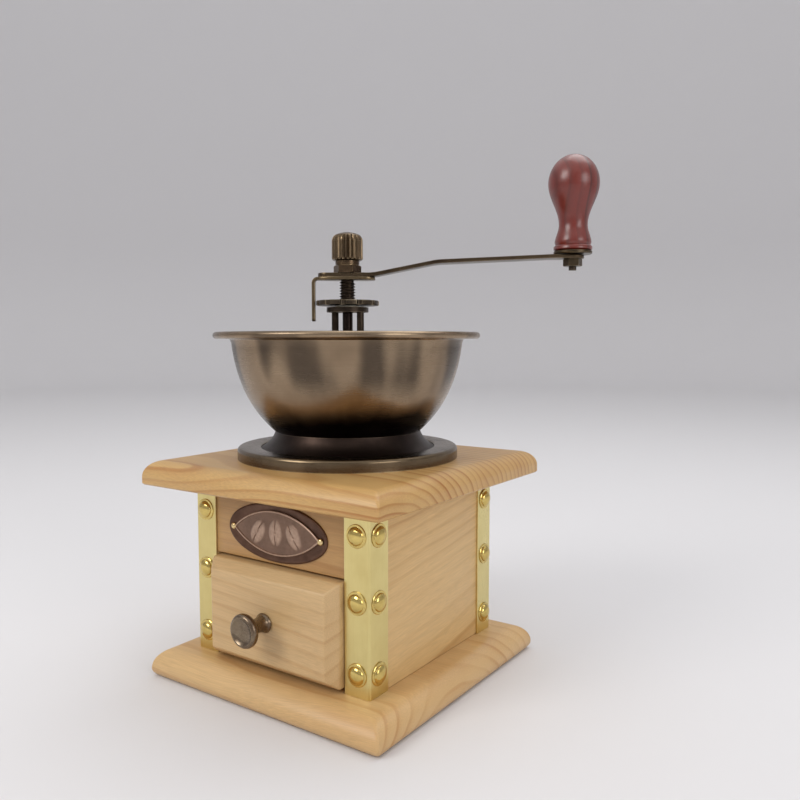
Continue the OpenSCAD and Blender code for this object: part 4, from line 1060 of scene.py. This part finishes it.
thread.data.materials.append(plated(
    "oiled_thread", shade(52, 42, 38), shade(140, 120, 98), shade(26, 20, 18),
    0.30, 0.006, "round", (0, 0, 0), 0.6, (0.0003, 2.0)))
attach(thread, "crank")
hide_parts("shaft")


# ---- Lock plate ----
# A strip of browned steel on the shaft's square. One end is folded down to a finger that reaches past
# the adjusting plate's rim.

knob_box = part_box("handle_knob")
handle_x = (knob_box[0].x + knob_box[1].x) / 2
handle_y = (knob_box[0].y + knob_box[1].y) / 2
crank_turn = math.degrees(math.atan2(handle_y, handle_x))


def run_edge(*steps):
    """Draws the open piece's selected edge on by steps of (along, up) and a width ratio if it changes."""
    for along, up, *ratio in steps:
        bpy.ops.mesh.extrude_edges_move(TRANSFORM_OT_translate={"value": (along, 0, up)})
        if ratio:
            bpy.ops.transform.resize(value=(1, ratio[0], 1), center_override=(0, 0, 0))


def round_corners(piece, test, radius):
    """Rounds the corners of an open sheet, in its own plane."""
    select_where(piece, "VERT", test)
    bpy.ops.mesh.bevel(offset=radius, segments=10, affect="VERTICES")


def thicken(piece, thickness, edge):
    """Gives a sheet its thickness, half to each side, and takes the sharpness off its edges."""
    apply_modifier(piece, "SOLIDIFY", thickness=thickness, offset=0.0, use_even_offset=True)
    break_edges(piece, edge, 2, 50)


strap_w = 0.010
hub_l = 0.0207
hub_x = 0.00225
taper_l = 0.0042
neck_l = 0.00105
fold_r = 0.0020
tip_h = 0.0008
lock_z = lock_high.z - lock_t / 2
deselect()
bpy.ops.mesh.primitive_plane_add(size=1, location=(0, 0, lock_z))
lock = start_piece("lock_plate_folded")
bpy.ops.mesh.select_all(action="SELECT")
bpy.ops.transform.resize(value=(hub_l, strap_w, 1), center_override=(0, 0, lock_z))
bpy.ops.transform.translate(value=(hub_x, 0, 0))
select_where(lock, "EDGE", lambda middle, way: middle.x < hub_x - hub_l / 2 + 1e-5)
run_edge((-taper_l, 0.0, 0.62), (-neck_l, 0.0, 0.66))
fold = [math.radians(15 * i) for i in range(7)]
run_edge(*((fold_r * (math.sin(a) - math.sin(b)), fold_r * (math.cos(b) - math.cos(a)))
           for a, b in zip(fold, fold[1:])))
run_edge((0.0, lock_low.z - (lock_z - fold_r) + tip_h), (0.0, -tip_h, 0.7))
round_corners(lock, lambda place, normal: place.x > hub_x + hub_l / 2 - 1e-5, 0.0046)
close_piece(lock, 40)
thicken(lock, lock_t, 0.0003)
set_down(lock, (0, 0, crank_turn))
lock.data.materials.append(plated(
    "lock_steel", shade(128, 112, 86), shade(206, 186, 148), shade(66, 52, 42),
    0.30, 0.010, "level", tarnish_amount=0.6, wear=(0.0005, 3.0)))
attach(lock, "crank")
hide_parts("lock_plate")


# ---- Crank arm ----
# A flat steel arm with round ends, set upwards over three soft bends between the hub and the handle. It
# is blackened, with a brown bronze sheen on its flat.

arm_t = 0.0017
arm_z = lock_high.z + arm_t / 2
arm_tail = -0.0133
arm_tip = math.hypot(handle_x, handle_y) + strap_w / 2
first_bend = 0.0116
second_bend = 0.0405
third_bend = 0.0930
first_rise = 0.0058
second_rise = 0.0024
deselect()
bpy.ops.mesh.primitive_plane_add(size=1, location=(0, 0, arm_z))
arm = start_piece("crank_arm_bent")
bpy.ops.mesh.select_all(action="SELECT")
bpy.ops.transform.resize(value=(first_bend - arm_tail, strap_w, 1), center_override=(0, 0, arm_z))
bpy.ops.transform.translate(value=((first_bend + arm_tail) / 2, 0, 0))
select_where(arm, "EDGE", lambda middle, way: middle.x > first_bend - 1e-5)
run_edge((second_bend - first_bend, first_rise), (third_bend - second_bend, second_rise),
         (arm_tip - third_bend, 0.0))
round_corners(arm, lambda place, normal: place.x > arm_tip - 1e-5 or place.x < arm_tail + 1e-5, 0.0049)
select_where(arm, "EDGE", lambda middle, way: abs(way.y) > 0.009 and any(
    abs(middle.x - bend) < 1e-5 for bend in (first_bend, second_bend, third_bend)))
bpy.ops.mesh.bevel(offset=0.0020, segments=5, affect="EDGES")
close_piece(arm, 40)
thicken(arm, arm_t, 0.0003)
set_down(arm, (0, 0, crank_turn))
arm.data.materials.append(plated(
    "arm_steel", shade(96, 82, 64), shade(176, 156, 124), shade(44, 34, 28),
    0.30, 0.014, "level", tarnish_amount=0.65, wear=(0.0005, 3.0)))
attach(arm, "crank")
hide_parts("crank_arm")


# ---- Lock nut ----
# A chamfered six-sided nut with a round collar above it, plated like old bronze. It is screwed down on
# the shaft's end and clamps the arm on the square.

def hex_nut(name, axis, low, high, corner, collar=0.0):
    """A six-sided nut with turned chamfers, and a round collar on its top where one is asked for."""
    deselect()
    bpy.ops.mesh.primitive_cylinder_add(vertices=6, radius=corner, depth=high - low - collar,
                                        location=(*axis, (low + high - collar) / 2))
    nut = start_piece(name)
    close_piece(nut)
    top = high - collar
    flat_r = corner * 0.88
    slope = 0.55
    over = 0.0001
    cone_h = (corner - flat_r) * slope + over
    turned_blank = turn_piece("nut_blank", [
        (flat_r - over / slope, low - over), (corner + over / slope, low + cone_h),
        (corner + over / slope, top - cone_h), (flat_r - over / slope, top + over)], axis, 101)
    cut_with(nut, turned_blank, "INTERSECT")
    if collar:
        ring = turn_piece("nut_collar", [
            (flat_r * 0.90, top - 0.0002), (flat_r * 0.90, top + 0.0003), (flat_r * 0.98, top + 0.0005),
            (flat_r * 0.98, high - 0.0003), (flat_r * 0.94, high)], axis, 96)
        pick(ring, nut)
        bpy.ops.object.join()
    smooth(nut, 25)
    nut.data.materials.clear()
    return nut


nut_low, nut_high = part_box("lock_nut")
lock_nut = hex_nut("lock_nut_turned", (0.0, 0.0), nut_low.z, nut_high.z, 0.0063, 0.0022)
lock_nut.data.materials.append(plated(
    "nut_bronze", shade(104, 86, 66), shade(200, 172, 132), shade(50, 38, 32),
    0.27, 0.006, "round", (0, 0, 0), 0.6, (0.0004, 3.0)))
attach(lock_nut, "crank")
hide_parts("lock_nut")


# ---- Cap nut ----
# A tall turned cap with coarse upright flutes for the fingers and a gently domed top. It screws down on
# the shaft's end and is plated a greenish bronze.

cap_low, cap_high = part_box("cap_nut")
cap_r = 0.0070
cap_z = cap_low.z
cap_h = cap_high.z - cap_low.z
flutes = 22
dome_r = 0.0030
cap_outline = [(cap_r - 0.0008, 0.0), (cap_r - 0.0003, 0.0003), (cap_r, 0.0008), (cap_r, 0.0016)]
cap_outline += [(cap_r, 0.0016 + 0.0009 * i) for i in range(1, 9)]
cap_outline += arc(cap_r - dome_r, cap_h - 0.0042, dome_r, 0.0033, 0, 70, 8)
cap_outline += [(0.0036, cap_h - 0.0006), (0.0018, cap_h - 0.0002), (0.0, cap_h)]
cap = turn_piece("cap_nut_fluted", [(r, cap_z + h) for r, h in cap_outline], count=flutes * 6)
bpy.ops.object.mode_set(mode="EDIT")


def flute_column(place, offset):
    """Whether a point stands in the given column of a flute, counted from the flute's middle."""
    column = round(math.atan2(place.y, place.x) / math.tau * flutes * 6) % 6
    return min(column, 6 - column) == offset and cap_z + 0.0007 < place.z < cap_z + cap_h - 0.0016


for offset, depth in ((0, 0.895), (1, 0.925)):
    select_where(cap, "VERT", lambda place, normal, offset=offset: flute_column(place, offset))
    bpy.ops.transform.resize(value=(depth, depth, 1), center_override=(0, 0, cap_z))
close_piece(cap, 30)
cap.data.materials.append(plated(
    "cap_bronze", shade(114, 96, 74), shade(186, 166, 132), shade(56, 44, 36),
    0.31, 0.006, "upright", tarnish_amount=0.65, wear=(0.0005, 2.6)))
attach(cap, "crank")
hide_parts("cap_nut")


# ---- Handle ----
# A turned hardwood handle in clear red-brown lacquer, with a narrow foot, a waist and a full round head.
# It turns freely on a steel spindle.

handle_axis = (handle_x, handle_y)
grip_z = knob_box[0].z
grip_h = knob_box[1].z - grip_z
foot_r = 0.0086
waist_r = 0.0064
belly_r = 0.0114


def ease(first, last, step):
    """A smooth change from one radius to another."""
    return first + (last - first) * (1 - math.cos(math.pi * step)) / 2


grip_outline = [(foot_r - 0.0006, 0.0), (foot_r, 0.0005), (foot_r, 0.0016), (foot_r - 0.0005, 0.0022),
                (foot_r - 0.0009, 0.0024), (foot_r - 0.0007, 0.0028)]
waist_h = 0.27 * grip_h
belly_h = 0.70 * grip_h
foot_h = 0.0030
grip_outline += [(ease(foot_r - 0.0004, waist_r, i / 12), foot_h + (waist_h - foot_h) * i / 12)
                 for i in range(1, 13)]
grip_outline += [(ease(waist_r, belly_r, i / 16), waist_h + (belly_h - waist_h) * i / 16)
                 for i in range(1, 17)]
grip_outline += arc(0.0, belly_h, belly_r, grip_h - belly_h, 5, 85, 16) + [(0.0, grip_h)]
grip = turn_piece("handle_grip", [(r, grip_z + h) for r, h in grip_outline], handle_axis, 96, 40)
grip.data.materials.clear()
grip.data.materials.append(pine(
    "red_lacquer", shade(120, 34, 18), shade(74, 20, 12),
    (handle_x + 0.02, handle_y + 0.01, grip_z), (0, 86, 0), 0.0044, 0.006, 0.34, 0.55, fade=0.5))
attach(grip, "handle")
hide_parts("handle_knob")


# ---- Handle ferrule ----
# A thin ring of browned steel under the handle's foot, with its edges rounded over. It keeps the wood off
# the arm and turns with the handle.

collar_low, collar_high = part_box("handle_ferrule")
collar_hole = 0.0039
ferrule = turn_piece("handle_ferrule_pressed", [
    (collar_hole, collar_low.z), (foot_r - 0.0004, collar_low.z), (foot_r, collar_low.z + 0.0004),
    (foot_r, collar_high.z - 0.0004), (foot_r - 0.0004, collar_high.z), (collar_hole, collar_high.z),
    (collar_hole, collar_low.z)], handle_axis, 96)
ferrule.data.materials.append(plated(
    "ferrule_steel", shade(92, 80, 62), shade(170, 150, 118), shade(44, 34, 30),
    0.30, 0.008, "round", (handle_x, handle_y, 0), 0.6, (0.0005, 3.0)))
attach(ferrule, "handle")
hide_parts("handle_ferrule")


# ---- Handle nut ----
# A small chamfered six-sided nut of browned steel under the arm's end. It holds the handle's spindle
# fast in the arm.

under_low, under_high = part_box("handle_nut")
under_nut = hex_nut("handle_nut_hex", handle_axis, under_low.z, under_high.z, 0.0043)
under_nut.data.materials.append(plated(
    "small_nut_steel", shade(96, 84, 66), shade(190, 168, 130), shade(46, 36, 30),
    0.30, 0.006, "round", (handle_x, handle_y, 0), 0.6, (0.0004, 3.0)))
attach(under_nut, "crank")
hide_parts("handle_nut")


# ---- Burrs, bridge and small fixings ----
# What the mill works with inside, and its screws: ground burr steel, blackened strap parts, zinc plated
# screws and pins, and a brass bush. They keep the shapes that they came with.

burr_finish = plated("burr_steel", shade(128, 126, 122), shade(190, 188, 182), shade(84, 80, 74),
                     0.36, 0.008, "round", (0, 0, 0), 0.5, (0.0006, 2.5), 0.00006)
strap_finish = plated("strap_steel", shade(74, 64, 54), shade(150, 134, 110), shade(36, 28, 26),
                      0.36, 0.010, "upright", tarnish_amount=0.6, wear=(0.0005, 2.6))
screw_finish = plated("zinc_plate", shade(172, 168, 156), shade(222, 218, 206), shade(126, 118, 100),
                      0.28, 0.004, "round", (0, 0, 0), 0.45, (0.0004, 2.4))
bush_finish = plated("bush_brass", shade(196, 164, 92), shade(236, 212, 146), shade(140, 108, 56),
                     0.30, 0.004, "round", (0, 0, 0), 0.4, (0.0004, 2.4))
fixings = {
    "outer_burr": burr_finish, "inner_burr": burr_finish,
    "bridge": strap_finish, "lower_bar": strap_finish,
    "burr_screws": screw_finish, "burr_pin": screw_finish, "bar_screws": screw_finish,
    "bridge_screws": screw_finish, "tail_washer": screw_finish,
    "tail_pin": screw_finish, "thrust_washer": screw_finish, "base_screws": screw_finish,
    "foot_screws": screw_finish, "drawer_knob_screw": screw_finish, "handle_spindle": strap_finish,
    "upper_bush": bush_finish,
}
for node, finish in fixings.items():
    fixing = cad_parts[node]
    fixing.data.materials.clear()
    fixing.data.materials.append(finish)


# ---- Spring ----
# A short open coil of round zinc plated wire under the lower bar. It pulls the shaft down on its burrs.
# It is wound at one fixed length and rides with the housing.

coil_low, coil_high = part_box("spring")
coil_r = 0.0039
wire_r = coil_high.x - coil_r
coil_turns = 4
coil_rise = coil_high.z - coil_low.z - 2 * wire_r
deselect()
bpy.ops.mesh.primitive_circle_add(vertices=12, radius=wire_r, location=(coil_r, 0, coil_low.z + wire_r),
                                  rotation=(math.radians(90), 0, 0))
coil = bpy.context.object
coil.name = "spring_coil"
coil.data.name = "spring_coil"
bpy.ops.object.transform_apply(location=True, rotation=True, scale=True)
wind(coil, coil_rise / coil_turns, coil_turns, 32)
bpy.ops.object.mode_set(mode="EDIT")
bpy.ops.mesh.select_all(action="SELECT")
bpy.ops.mesh.remove_doubles(threshold=1e-6)
bpy.ops.mesh.fill_holes(sides=16)
close_piece(coil, 50)
coil.data.materials.clear()
coil.data.materials.append(screw_finish)
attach(coil, "housing")
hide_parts("spring")
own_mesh(coil)
